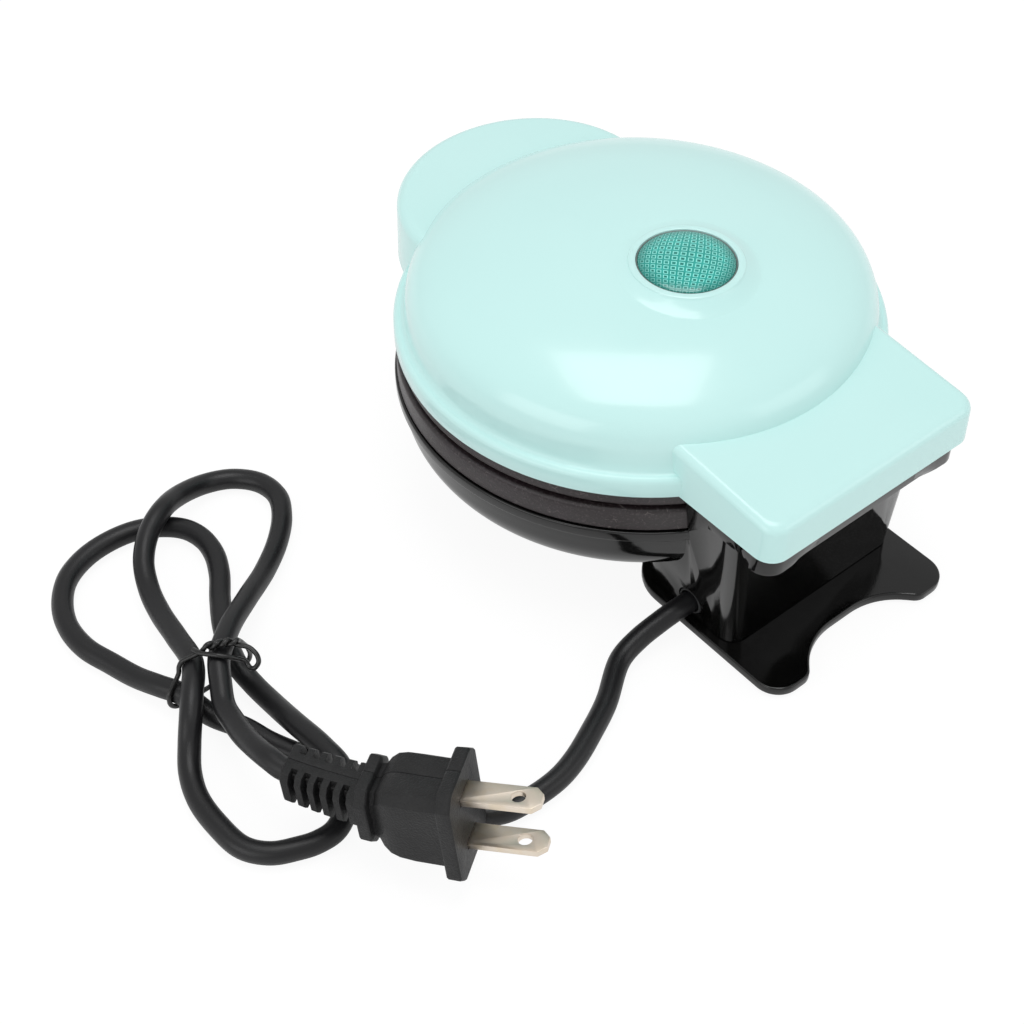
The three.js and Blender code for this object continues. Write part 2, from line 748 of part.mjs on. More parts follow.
const boltHead = screwHeadHeight + runningGap
upperScrewPlaces.forEach(([x, y], k) => {
  const head = earTop + boltHead
  addPart(lid, `upper_plate_screw_${k + 1}`, screwGeometry(x, y, head, upperScrewLength, false), finish.steel)
})
earScrewPlaces().forEach(([x, y], k) => {
  const head = upperReflectorZ - boltHead
  const length = y < 0 ? earScrewLength : earScrewLength / 2
  addPart(lid, `reflector_screw_${k + 1}`, screwGeometry(x, y, head, length, true), finish.steel)
})

// Lower housing: bowl, rear block with the hinge ears, and front column, all hollow

// Bowl outline from the rim band down, as shares of the radius and of the bowl's rise.
const bowlShares = [
  [0.984, 0.84], [0.978, 0.7], [0.967, 0.52], [0.943, 0.36], [0.903, 0.21], [0.84, 0.09], [0.75, 0.02], [0.64, 0],
]

function bowlProfile(inset) {
  const points = bowlShares.map(([r, h]) => [r * housingRadius - inset, bowlBottom + h * bowlRise + inset])
  const rim = housingRadius - inset
  const band = housingRimHeight - housingRimBand
  if (inset) return [[0, bowlBottom + inset], ...points.reverse(), [rim - inset / 2, housingRimHeight + overrun],
    [0, housingRimHeight + overrun]]
  return [[0, bowlBottom], ...points.reverse(), [rim, band], [rim, housingRimHeight], [0, housingRimHeight]]
}

function blockSolid(inset, bottom, top) {
  const high = blockHalfWidth - inset
  const low = blockFootHalfWidth - inset
  const draft = alongSolid([[-low, bottom, 0], [low, bottom, 0], [high, top, 0], [-high, top, 0]],
    blockFrontY + inset, blockHornY - inset)
  const corner = blockCorner - inset / 2
  const plan = roundedShape([[-high, blockFrontY + inset, corner], [high, blockFrontY + inset, corner],
    [high, blockRearY - inset, corner], [-high, blockRearY - inset, corner]])
  return draft.intersect(slabSolid(plan, bottom - overrun, top + overrun))
}

const axisBottom = hingeHeight - barrelRadius

// The block's top runs back over the hinge in two horns that the barrel turns between.
function hingeHornSolid() {
  const plan = rectangle(-blockHalfWidth, blockHalfWidth, blockRearY - 2 * blockCorner, blockHornY, blockCorner / 2)
  return slabSolid(plan, hingeHeight - barrelRadius / 4, blockTop)
}

function earPlateSolid(x) {
  const half = earPlateWidth / 2
  const arm = boxSolid(x - half, x + half, blockRearY - shellWall, hingeY,
    hingeHeight - earPlateRadius, hingeHeight + earPlateRadius)
  return join(arm, crossRodSolid(earPlateRadius, x - half, x + half, hingeY, hingeHeight, 20))
}

function columnSolid(inset, bottom, top) {
  return slabSolid(rectangle(inset - columnHalfWidth, columnHalfWidth - inset, columnFrontY + inset,
    columnRearY - inset, columnCorner - inset / 2), bottom, top)
}

function footScrewPlaces() {
  return [[-footScrewX, footScrewY], [footScrewX, footScrewY],
    [-frontScrewX, frontScrewY], [frontScrewX, frontScrewY]]
}

function makeLowerHousing() {
  const outer = join(turnedSolid(bowlProfile(0), 0, 0, 52), blockSolid(0, housingBottom, blockTop),
    columnSolid(0, housingBottom, bowlBottom + shellWall))
  const inner = join(turnedSolid(bowlProfile(shellWall), 0, 0, 40),
    blockSolid(shellWall, housingBottom - overrun, blockTop - shellWall),
    columnSolid(shellWall, housingBottom - overrun, bowlBottom + overrun))
  const shell = cut(join(outer, hingeHornSolid()), inner)
  const channel = crossRodSolid(barrelRadius + runningGap, -lidRadius, lidRadius, hingeY, hingeHeight, 28)
  const plateRoom = rodSolid(plateRimRadius + 1.5 * runningGap, 0, 0, housingRimHeight, blockTop + overrun, 52)
  const ears = [-earPlateX, earPlateX].map(earPlateSolid)
  const pinHole = crossRodSolid(pinRadius + runningGap, -lidRadius, lidRadius, hingeY, hingeHeight, 16)
  const bosses = footScrewPlaces().map(([x, y]) => rodSolid(bossRadius, x, y, housingBottom, bowlBottom + shellWall, 14))
  const ribs = footScrewPlaces().map(([x, y]) => {
    const outside = Math.sign(x) * (y < 0 ? columnHalfWidth - shellWall / 2 : blockFootHalfWidth)
    return boxSolid(Math.min(x, outside), Math.max(x, outside), y - shellWall / 2, y + shellWall / 2,
      housingBottom + shellWall, bowlBottom)
  })
  const posts = lowerScrewPlaces.map(([x, y]) => rodSolid(bossRadius + shellWall / 2, x, y, bowlBottom + shellWall / 2,
    postTop, 14))
  const pilots = footScrewPlaces().map(([x, y]) =>
    rodSolid(screwHoleRadius, x, y, housingBottom - overrun, housingBottom + footScrewLength, 10))
  const through = lowerScrewPlaces.flatMap(([x, y]) => [
    rodSolid(screwHoleRadius, x, y, bowlBottom - overrun, lowerBack, 10),
    rodSolid(screwHeadRadius + runningGap, x, y, bowlBottom - overrun, plateScrewSeat, 14)])
  const bushingHole = crossRodSolid(bushingNeckRadius + runningGap, cordRadius, lidRadius, cordExitY, cordExitHeight, 20)
  const carved = cut(shell, channel, plateRoom)
  return cut(join(carved, ...ears, ...bosses, ...ribs, ...posts), pinHole, ...pilots, ...through, bushingHole)
}

const plateScrewSeat = bowlBottom + 2 * shellWall
addPart(model, 'lower_housing', makeLowerHousing(), finish.black)

lowerScrewPlaces.forEach(([x, y], k) => {
  const head = plateScrewSeat - boltHead
  addPart(model, `lower_plate_screw_${k + 1}`, screwGeometry(x, y, head, plateScrewLength, true), finish.steel)
})

// Foot plates, pads and their screws

function rearFootShape() {
  const half = rearFootHalfWidth
  const floor = rearFootEndY - notchDepth
  return roundedShape([
    [-half, rearFootFrontY, rearFootFrontCorner], [half, rearFootFrontY, rearFootFrontCorner],
    [half, rearFootEndY, rearFootCorner], [notchHalfWidth, rearFootEndY, hornRound],
    [notchFloorHalfWidth, floor, notchRound], [-notchFloorHalfWidth, floor, notchRound],
    [-notchHalfWidth, rearFootEndY, hornRound], [-half, rearFootEndY, rearFootCorner]], 4)
}

function frontFootShape() {
  return rectangle(-frontFootHalfWidth, frontFootHalfWidth, frontFootFrontY, frontFootRearY, frontFootCorner)
}

const padPlaces = [[-rearPadX, rearPadY], [rearPadX, rearPadY], [-frontPadX, frontPadY], [frontPadX, frontPadY]]

function footPlateSolid(shape, isFront) {
  const owns = ([, y]) => (y < 0) === isFront
  const recesses = padPlaces.filter(owns).map(([x, y]) =>
    rodSolid(footPadRadius + runningGap, x, y, plateStand - overrun, plateStand + footPadRecess, 16))
  const holes = footScrewPlaces().filter(owns).flatMap(([x, y]) => [
    rodSolid(screwHoleRadius, x, y, plateStand - overrun, footPlateTop + overrun, 10),
    rodSolid(screwHeadRadius + runningGap, x, y, plateStand - overrun, footPlateTop - footPadRecess, 14)])
  return cut(slabSolid(shape, plateStand, footPlateTop), ...recesses, ...holes)
}

addPart(model, 'rear_foot_plate', footPlateSolid(rearFootShape(), false), finish.black)
addPart(model, 'front_foot_plate', footPlateSolid(frontFootShape(), true), finish.black)
padPlaces.forEach(([x, y], k) => {
  const pad = rodSolid(footPadRadius, x, y, 0, plateStand + footPadRecess - runningGap, 16)
  addPart(model, `foot_pad_${k + 1}`, pad, finish.rubber)
})
footScrewPlaces().forEach(([x, y], k) => {
  const head = footPlateTop - footPadRecess - boltHead
  addPart(model, `foot_screw_${k + 1}`, screwGeometry(x, y, head, footScrewLength, true), finish.steel)
})

// Hinge: a barrel and rear lip under the lid's tab turn on a pin held by the housing's two ears

function makeHingeCover() {
  const top = hingeHeight + barrelRadius
  const barrel = crossRodSolid(barrelRadius, -lipHalfWidth, lipHalfWidth, hingeY, hingeHeight, 32)
  const lip = boxSolid(-lipHalfWidth, lipHalfWidth, hingeY, lipRearY, axisBottom, top)
  const plan = roundedShape([[-lipHalfWidth, hingeY - 2 * barrelRadius, 0], [lipHalfWidth, hingeY - 2 * barrelRadius, 0],
    [lipHalfWidth, lipRearY, lipCorner], [-lipHalfWidth, lipRearY, lipCorner]])
  const rounded = join(barrel, lip).intersect(slabSolid(plan, axisBottom - overrun, top + overrun))
  const tabInner = tabWidth / 2 - shellWall - runningGap
  const tabInnerEnd = tabEndY - shellWall - runningGap
  const corner = tabCorner - shellWall
  const tongue = slabSolid(roundedShape([[-tabInner, hingeY - 2 * barrelRadius, corner],
    [tabInner, hingeY - 2 * barrelRadius, corner], [tabInner, tabInnerEnd, corner], [-tabInner, tabInnerEnd, corner]]),
  lidEdgeHeight, tongueTop)
  const neck = boxSolid(-coverScrewX - bossRadius, coverScrewX + bossRadius, hingeY + barrelRadius / 3,
    tabInnerEnd - lipCorner / 3, top - barrelRadius / 2, tongueTop)
  const slots = [-earPlateX, earPlateX].map((x) => {
    const half = earPlateWidth / 2 + runningGap
    return boxSolid(x - half, x + half, hingeY - 3 * barrelRadius, hingeY + barrelRadius + runningGap,
      axisBottom - overrun, hingeHeight + earPlateRadius + runningGap)
  })
  const bore = crossRodSolid(pinRadius + runningGap, -lidRadius, pinInnerX + runningGap, hingeY, hingeHeight, 16)
  const holes = [-coverScrewX, coverScrewX].flatMap((x) => [
    rodSolid(coverScrewSlimness * screwHoleRadius, x, coverScrewY, axisBottom - overrun, tongueTop + overrun, 10)])
  const heads = [-coverScrewX, coverScrewX].map((x) =>
    rodSolid(screwHeadRadius, x, coverScrewY, axisBottom - overrun, axisBottom + coverHeadDepth, 14))
  return cut(join(rounded, tongue, neck), ...slots, bore, ...holes, ...heads)
}

const coverHeadDepth = screwHeadHeight + runningGap
const hingeCover = makeHingeCover()
addPart(lid, 'hinge_cover', hingeCover, finish.black)
const pin = crossRodSolid(pinRadius, -pinOuterX, pinInnerX, hingeY, hingeHeight, 16)
addPart(model, 'hinge_pin', pin, finish.steel)

;[-coverScrewX, coverScrewX].forEach((x, k) => {
  const shrink = new THREE.Matrix4().makeScale(coverScrewSlimness, coverScrewSlimness, 1)
  const screw = screwGeometry(0, 0, axisBottom, coverScrewLength, true).applyMatrix4(shrink)
  addPart(lid, `hinge_cover_screw_${k + 1}`, screw.translate(x, coverScrewY, 0), finish.steel)
})

// Handle cover, which closes the handle tab from below

function makeHandleCover() {
  const plan = handleShape(shellWall + runningGap)
  const slab = slabSolid(plan, lidEdgeHeight + runningGap, handleCoverTop)
  const disc = rodSolid(plateRimRadius + 2 * shellWall, 0, 0, lidEdgeHeight - overrun, handleCoverTop + overrun, 52)
  const holes = [-handleScrewX, handleScrewX].flatMap((x) => [
    rodSolid(screwHoleRadius, x, handleScrewY, lidEdgeHeight - overrun, handleCoverTop + overrun, 10)])
  return cut(slab, disc, ...holes)
}

addPart(lid, 'handle_cover', makeHandleCover(), finish.black)
;[-handleScrewX, handleScrewX].forEach((x, k) => {
  const head = lidEdgeHeight - screwHeadHeight
  addPart(lid, `handle_screw_${k + 1}`, screwGeometry(x, handleScrewY, head, handleScrewLength, true), finish.steel)
})

// Electrical parts inside the pedestal and the bowl

const panFloor = lowerReflectorZ - reflectorDepth
const terminalTop = footPlateTop + runningGap + terminalHeight
addPart(model, 'terminal_block', boxSolid(-terminalWidth / 2, terminalWidth / 2,
  terminalY - terminalDepth / 2, terminalY + terminalDepth / 2, footPlateTop + runningGap, terminalTop), finish.white)
addPart(model, 'thermostat', rodSolid(thermostatRadius, 0, thermostatY, panFloor + runningGap,
  panFloor + runningGap + thermostatHeight, 24), finish.steel)
addPart(model, 'thermal_fuse', crossRodSolid(fuseRadius, fuseX - fuseLength / 2, fuseX + fuseLength / 2, fuseY,
  panFloor + runningGap + fuseRadius, 12), finish.ceramic)

function elementEnd(side, z) {
  const turn = ((90 + side * elementGapAngle) * Math.PI) / 180
  return [elementRingRadius * Math.cos(turn), elementRingRadius * Math.sin(turn), z]
}

;[1, -1].forEach((side, k) => {
  const [x, y] = elementEnd(side, 0)
  const end = lowerElementZ - elementDrop - runningGap
  const start = terminalTop + runningGap
  const mid = bowlBottom + shellWall + 2 * leadRadius
  const middle = terminalY - terminalDepth / 4
  const route = [[x / 2, middle, start], [x / 2, middle, mid], [x, (middle + y) / 2, mid], [x, y, mid], [x, y, end]]
  addPart(model, k ? 'neutral_lead' : 'live_lead', tubeGeometry(route, leadRadius, 12, 6), finish.white)
})

// Cord bushing in the pedestal's side wall

function makeBushing() {
  const length = bushingReach - bushingInnerX
  const wallOuter = bushingReach - bushingFlange
  const bore = cordRadius + runningGap
  const profile = [[bore, 0], [bushingNeckRadius, 0], [bushingNeckRadius, wallOuter - bushingInnerX],
    [bushingFlangeRadius, wallOuter - bushingInnerX], [bushingFlangeRadius, length], [bore, length]]
  const geometry = turnedGeometry(profile, 0, 0, 20)
  return geometry.rotateY(Math.PI / 2).translate(bushingInnerX, cordExitY, cordExitHeight)
}

addPart(model, 'cord_bushing', makeBushing(), finish.rubber)

// Power cord: from inside the pedestal, along the floor, under the plug and round its three loops.
// Each point is [x, y] from where the cord leaves the bushing, and its height over the floor.

const cordPoints = [
  [-13, 0.1, 8.3], [-7, 0, 8.3], [0.2, 0, 8.3], [3.6, -0.1, 8.1], [7.3, -0.6, 6.9], [13.6, -1, 5],
  [20.1, 0, 3.4], [31.1, 7.3, 2.8], [39, 11.3, 2.8], [47.1, 14.8, 2.8], [53.7, 16.5, 2.8],
  [61.4, 16.7, 2.8], [69.2, 15.5, 2.8], [75.8, 10.1, 2.8], [80.8, 1.9, 2.8], [85.4, -7.1, 2.8],
  [90, -16.5, 2.8], [94.6, -25.5, 2.8], [98.2, -33.3, 2.8], [100.5, -40.3, 3], [104.6, -47.7, 3.8],
  [106.9, -56.3, 5], [109.5, -61.9, 4.6], [112, -68.9, 3.2], [114.2, -76.3, 2.8], [116.6, -84.6, 2.8],
  [116.5, -93.1, 2.8], [113.7, -100.7, 2.8], [108.7, -106.8, 2.8], [101.4, -110.4, 2.8],
  [93.4, -111.3, 2.8], [86.3, -110, 2.8], [80.2, -106.3, 2.8], [76.8, -102.2, 2.8], [75.4, -96.9, 2.8],
  [76, -90.8, 2.8], [78.7, -84.2, 2.8], [83.5, -76.4, 3.4], [88.6, -66.5, 5], [92, -56.2, 4.9],
  [91.9, -49, 3.6], [91.8, -39.8, 4.6], [92.1, -30.8, 7.2], [91.7, -20.2, 8.8], [92, -13.2, 8.7],
  [95.4, -7, 4.6], [100.2, -4.2, 3], [105.2, -4.2, 2.8], [109.5, -5.6, 2.8], [114.9, -8.4, 2.8],
  [118.7, -13.4, 2.8], [120.1, -21.6, 2.8], [119.3, -30.5, 2.8], [116.9, -37.5, 3.4],
  [113.6, -42.4, 5.6], [110.3, -46.3, 8.9], [107, -50.5, 10.8], [102, -58, 10.6], [99.7, -69.3, 8],
  [97.8, -80.4, 5.4], [95.5, -89.6, 4.6], [92.4, -96.7, 6.2], [87.4, -102.3, 8], [81, -106.4, 8.9],
  [73.2, -111, 6], [64.3, -112.6, 3.4], [57.6, -110.1, 2.8], [53, -104.4, 2.8], [52.2, -97.6, 2.8],
  [55.3, -90.9, 2.8], [61.1, -84.3, 2.8], [69.8, -77, 4], [80.5, -68.6, 8.2], [89.9, -61, 11.7],
  [97.6, -53.1, 13.4], [100.8, -47.7, 12.3], [102.4, -42.5, 10.2], 
  [104.6, -34, 12.5], [105.5, -29.8, 14.6], [106.2, -25.2, 16.6], [106.4, -21.6, 17.8], [106.2, -18.7, 18.2], [106.9, -14.8, 16.9], [104.7, -11.5, 15.9],
]
const fromExit = ([x, y, z]) => [bushingReach + x, cordExitY + y, z]
const cordRoute = cordPoints.map(fromExit)

const cordSteps = 118
addPart(model, 'power_cord', tubeGeometry(cordRoute, cordRadius, cordSteps, 8), finish.rubber)

// The least gap of the cord to itself, between points at least six diameters apart along it.
function leastGap(route, radius) {
  const path = new THREE.CatmullRomCurve3(route.map((p) => new THREE.Vector3(...p)), false, 'centripetal')
  const points = path.getSpacedPoints(900)
  const apart = Math.ceil((12 * radius) / (path.getLength() / 900))
  let least = Infinity
  for (let i = 0; i < points.length; i++) {
    for (let j = i + apart; j < points.length; j++) least = Math.min(least, points[i].distanceTo(points[j]))
  }
  return { gap: least - 2 * radius, length: path.getLength() }
}

const measured = leastGap(cordRoute, cordRadius)
console.log(`power cord: ${measured.length.toFixed(0)} mm long, least gap to itself ${measured.gap.toFixed(2)} mm`)

// Twist tie: a wire once round the four strands, with its two tails side by side
const tiePoints = [
  [96.5, -65.4, 21.5], [94.8, -62.3, 17.8], [90, -61.1, 16.2], [85, -60.9, 14.2], [83.6, -60.9, 10.5],
  [84.4, -60.9, 3.5], [88.5, -60.9, 1.2], [99, -60.9, 1.2], [110, -60.9, 1.2], [113.4, -60.9, 2.6],
  [113.6, -60.9, 7], [110.5, -60.9, 10.4], [103, -60.9, 15], [98.5, -61.5, 17.6], [98.6, -64.5, 20.6],
]
addPart(model, 'twist_tie', tubeGeometry(tiePoints.map(fromExit), tieWireRadius, 40, 5), finish.blackMatt)

// Plug, in its own frame: +Z points along the blades, X is across them, z = 0 is its front face
const plug = new THREE.Group()
const yaw = (plugYaw * Math.PI) / 180
const pitch = (plugPitch * Math.PI) / 180
const roll = (plugRoll * Math.PI) / 180
const forward = new THREE.Vector3(
  Math.cos(pitch) * Math.cos(yaw), Math.cos(pitch) * Math.sin(yaw), -Math.sin(pitch))
const level = new THREE.Vector3(Math.sin(yaw), -Math.cos(yaw), 0)
const above = new THREE.Vector3().crossVectors(level, forward)
const across = level.clone().multiplyScalar(Math.cos(roll)).addScaledVector(above, Math.sin(roll))
const upward = new THREE.Vector3().crossVectors(forward, across)
plug.quaternion.setFromRotationMatrix(new THREE.Matrix4().makeBasis(across, upward, forward))
plug.position.set(bushingReach + plugOut, cordExitY + plugBack, plugHeight)
model.add(plug)

// Sections from the cord end to the front face: place along the length, width, height and corner, as shares.
const plugSectionShares = [
  [0, 0.32, 0.58, 0.07], [0.15, 0.325, 0.59, 0.07], [0.29, 0.33, 0.61, 0.07], [0.43, 0.337, 0.63, 0.07],
  [0.434, 0.61, 0.825, 0.15], [0.507, 0.61, 0.825, 0.15], [0.515, 0.48, 0.6, 0.12], [0.57, 0.6, 0.7, 0.12],
  [0.64, 0.7, 0.77, 0.11], [0.73, 0.757, 0.81, 0.1], [0.917, 0.765, 0.815, 0.1], [0.922, 1, 1, 0.14],
  [1, 1, 1, 0.14],
]
const plugBendAt = (along) => plugNeckBend * Math.max(0, 1 - along / plugNeckShare) ** 2
const plugBendSlope = (2 * plugNeckBend) / (plugNeckShare * plugLength)

function makePlugBody() {
  const sections = plugSectionShares.map(([along, w, h, r]) => ({
    x: -plugBendAt(along), z: (along - 1) * plugLength,
    w: w * plugFlangeWidth, h: h * plugFlangeHeight, r: r * plugFlangeHeight }))
  const pockets = [-1, 1].map((side) => {
    const x = (side * bladeSpacing) / 2
    const [w, h] = [bladeThickness / 2 + runningGap, bladeWidth / 2 + runningGap]
    return boxSolid(x - w, x + w, -h, h, -bladeSunk - runningGap, overrun)
  })
  const bore = rodSolid(plugBoreRadius, 0, 0, -plugBoreDepth, plugBoreDepth, 14)
    .rotate([0, (Math.atan(plugBendSlope) * 180) / Math.PI, 0]).translate([-plugNeckBend, 0, -plugLength])
  return cut(toSolid(loftGeometry(sections)), ...pockets, bore)
}

function bladeGeometry(side) {
  const half = bladeWidth / 2
  const shape = new THREE.Shape([
    new THREE.Vector2(-half, -bladeSunk), new THREE.Vector2(half, -bladeSunk),
    new THREE.Vector2(half, bladeReach - bladeTipCut), new THREE.Vector2(half - bladeTipCut, bladeReach),
    new THREE.Vector2(bladeTipCut - half, bladeReach), new THREE.Vector2(-half, bladeReach - bladeTipCut)])
  const hole = new THREE.Path()
  hole.absarc(0, bladeHoleReach, bladeHoleRadius, 0, 2 * Math.PI, true)
  shape.holes.push(hole)
  const geometry = new THREE.ExtrudeGeometry(shape, { depth: bladeThickness, bevelEnabled: false, curveSegments: 6 })
  const turn = new THREE.Matrix4().makeBasis(
    new THREE.Vector3(0, 1, 0), new THREE.Vector3(0, 0, 1), new THREE.Vector3(1, 0, 0))
  return geometry.applyMatrix4(turn).translate((side * bladeSpacing - bladeThickness) / 2, 0, 0)
}

addPart(plug, 'plug_body', makePlugBody(), finish.rubber)
addPart(plug, 'plug_blade_1', bladeGeometry(-1), finish.nickel)
addPart(plug, 'plug_blade_2', bladeGeometry(1), finish.nickel)

// The origin is under the middle of the maker, its cord set aside
model.position.y = (handleReach - rearFootEndY) / 2

export default model
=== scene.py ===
# %% [markdown]
# # A small round waffle maker
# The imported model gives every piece's place. This lesson dresses it: smooth skins over the plain
# solids, and a material for each finish. All sizes below are in millimetres on the maker's own axis,
# and one helper turns them into metres in the model's frame.

# %% Load the frame
import bmesh
import bpy
import math
import numpy as np
from mathutils import Matrix, Vector


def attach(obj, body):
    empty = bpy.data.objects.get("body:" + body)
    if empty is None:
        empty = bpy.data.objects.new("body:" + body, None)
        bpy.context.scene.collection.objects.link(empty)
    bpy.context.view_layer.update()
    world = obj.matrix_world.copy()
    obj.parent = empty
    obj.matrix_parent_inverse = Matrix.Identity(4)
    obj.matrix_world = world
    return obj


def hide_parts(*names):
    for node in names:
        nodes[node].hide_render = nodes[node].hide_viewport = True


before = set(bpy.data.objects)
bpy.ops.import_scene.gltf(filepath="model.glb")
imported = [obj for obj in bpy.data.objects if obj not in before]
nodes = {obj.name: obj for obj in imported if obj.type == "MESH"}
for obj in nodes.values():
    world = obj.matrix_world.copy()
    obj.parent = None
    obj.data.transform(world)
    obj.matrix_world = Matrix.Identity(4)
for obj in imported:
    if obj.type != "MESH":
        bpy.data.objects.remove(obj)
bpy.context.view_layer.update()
MM = 0.001
AXIS_TO_ORIGIN = -4.65


def place(point):
    """A point in millimetres on the maker's axis, in metres in the model's frame."""
    x, y, z = point
    return Vector((x * MM, (y + AXIS_TO_ORIGIN) * MM, z * MM))


# %% [markdown]
# ## The camera
# The photograph looks down from behind the hinge, on the cord's side. The angle, distance and focal
# length come from fitting the round rims, so the camera is built from those numbers and nothing else.

# %% Camera
AZIMUTH = math.radians(140.53)
ELEVATION = math.radians(46.32)
DISTANCE = 449.67
LOOK_HEIGHT = 45.7
SHIFT_RIGHT = -31.66
SHIFT_UP = -47.13
LENS = 63.36
SENSOR = 36.0

back = Vector((
    math.sin(AZIMUTH) * math.cos(ELEVATION),
    -math.cos(AZIMUTH) * math.cos(ELEVATION),
    math.sin(ELEVATION),
))
right = Vector((math.cos(AZIMUTH), math.sin(AZIMUTH), 0.0))
up = back.cross(right)
eye = back * DISTANCE + right * SHIFT_RIGHT + up * SHIFT_UP + Vector((0, 0, LOOK_HEIGHT))
camera = bpy.data.objects.new("camera", bpy.data.cameras.new("camera"))
bpy.context.scene.collection.objects.link(camera)
camera.data.lens = LENS
camera.data.sensor_width = SENSOR
camera.data.clip_start = 0.01
camera.matrix_world = Matrix.Translation(place(eye)) @ Matrix((right, up, back)).transposed().to_4x4()
bpy.context.scene.camera = camera
print("camera at", tuple(round(c, 4) for c in camera.location))

# %% [markdown]
# ## Small builders
# Most pieces are a skin stretched over a row of closed rings: a turned piece, a drawn-up block and a
# moulded plug all are. One function joins the rings, and others round the corners of an outline.

# %% Builders


def link(name, mesh):
    piece = bpy.data.objects.new(name, mesh)
    bpy.context.scene.collection.objects.link(piece)
    return piece


def skin(name, rings, close_ends=True):
    """A piece whose surface joins closed rings of points, each ring in millimetres."""
    count = len(rings[0])
    verts = [place(p) for ring in rings for p in ring]
    faces = []
    for s in range(len(rings) - 1):
        for k in range(count):
            a, b = s * count + k, s * count + (k + 1) % count
            faces.append((a, b, b + count, a + count))
    if close_ends:
        last = (len(rings) - 1) * count
        faces.append(tuple(reversed(range(count))))
        faces.append(tuple(range(last, last + count)))
    mesh = bpy.data.meshes.new(name)
    mesh.from_pydata(verts, [], faces)
    piece = link(name, mesh)
    tidy(piece)
    return piece


def tidy(piece, merge=1e-6):
    """Merges doubles and turns every face outwards."""
    work = bmesh.new()
    work.from_mesh(piece.data)
    bmesh.ops.remove_doubles(work, verts=work.verts, dist=merge)
    bmesh.ops.dissolve_degenerate(work, edges=work.edges, dist=merge)
    bmesh.ops.recalc_face_normals(work, faces=work.faces)
    work.to_mesh(piece.data)
    work.free()


def circle(radius, sides, x=0.0, y=0.0):
    """The points of a circle round (x, y)."""
    turns = [2 * math.pi * k / sides for k in range(sides)]
    return [(x + radius * math.cos(turn), y + radius * math.sin(turn)) for turn in turns]


def lifted(outline, *levels):
    """The same outline as a ring at each level."""
    return [[(x, y, z) for x, y in outline] for z in levels]


def turned(name, profile, centre=(0, 0), sides=128):
    """A piece turned about an upright axis from a closed profile of (radius, height) points."""
    rings = [[(centre[0] + max(r, 0) * c, centre[1] + max(r, 0) * s, z) for r, z in profile]
             for c, s in circle(1, sides)]
    return skin(name, rings + rings[:1], close_ends=False)


def rounded(corners, steps=6):
    """An outline whose corners (a, b, radius) are rounded, as a list of (a, b)."""
    outline = []
    for i, (x, y, radius) in enumerate(corners):
        here = Vector((x, y))
        if not radius:
            outline.append((x, y))
            continue
        before = (Vector(corners[i - 1][:2]) - here).normalized()
        after = (Vector(corners[(i + 1) % len(corners)][:2]) - here).normalized()
        half = math.acos(max(-1, min(1, before.dot(after)))) / 2
        centre = here + (before + after).normalized() * radius / math.sin(half)
        start = here + before * radius / math.tan(half) - centre
        end = here + after * radius / math.tan(half) - centre
        turn = math.atan2(start.x * end.y - start.y * end.x, start.dot(end))
        for k in range(steps + 1):
            angle = turn * k / steps
            c, s = math.cos(angle), math.sin(angle)
            outline.append((centre.x + start.x * c - start.y * s, centre.y + start.x * s + start.y * c))
    return outline


def round_box(half, front, rear, front_corner, rear_corner, steps):
    """A rounded oblong from -half to half, with one radius in front and one behind."""
    return rounded([(-half, front, front_corner), (half, front, front_corner),
                    (half, rear, rear_corner), (-half, rear, rear_corner)], steps)


def smooth_line(points, per_step):
    """Points on a centripetal Catmull-Rom curve through the given ones, as the model's cord has."""
    p = [np.array(q, float) for q in points]
    p = [2 * p[0] - p[1], *p, 2 * p[-1] - p[-2]]
    line = []
    for i in range(1, len(p) - 2):
        x0, x1, x2, x3 = p[i - 1:i + 3]
        d0, d1, d2 = (max(np.linalg.norm(b - a), 1e-9) ** 0.5 for a, b in ((x0, x1), (x1, x2), (x2, x3)))
        t1 = ((x1 - x0) / d0 - (x2 - x0) / (d0 + d1) + (x2 - x1) / d1) * d1
        t2 = ((x2 - x1) / d1 - (x3 - x1) / (d1 + d2) + (x3 - x2) / d2) * d1
        for k in range(per_step):
            t = k / per_step
            bend = (3 * (x2 - x1) - 2 * t1 - t2) * t * t + (2 * (x1 - x2) + t1 + t2) * t ** 3
            line.append(x1 + t1 * t + bend)
    line.append(p[-2])
    return line


def baked(piece):
    """Leaves a piece as the plain mesh that its modifiers make."""
    graph = bpy.context.evaluated_depsgraph_get()
    mesh = bpy.data.meshes.new_from_object(piece.evaluated_get(graph))
    piece.modifiers.clear()
    old = piece.data
    piece.data = mesh
    bpy.data.meshes.remove(old)
    return piece


def modified(piece, kind, **values):
    """Applies one modifier."""
    modifier = piece.modifiers.new(kind.lower(), kind)
    for key, value in values.items():
        setattr(modifier, key, value)
    baked(piece)


def carve(piece, tool, how):
    """Joins a tool to a piece or cuts it away, and removes the tool."""
    modified(piece, "BOOLEAN", object=tool, operation=how, solver="EXACT")
    bpy.data.objects.remove(tool)


def add(piece, tool):
    """Grows a tool onto a piece."""
    carve(piece, tool, "UNION")


def cut(piece, tool):
    """Takes a tool's room out of a piece."""
    carve(piece, tool, "DIFFERENCE")


def shade(piece, angle=32):
    """Shades a piece smooth, apart from edges sharper than the angle."""
    mesh = piece.data
    mesh.shade_smooth()
    mesh.set_sharp_from_angle(angle=math.radians(angle))
    return piece


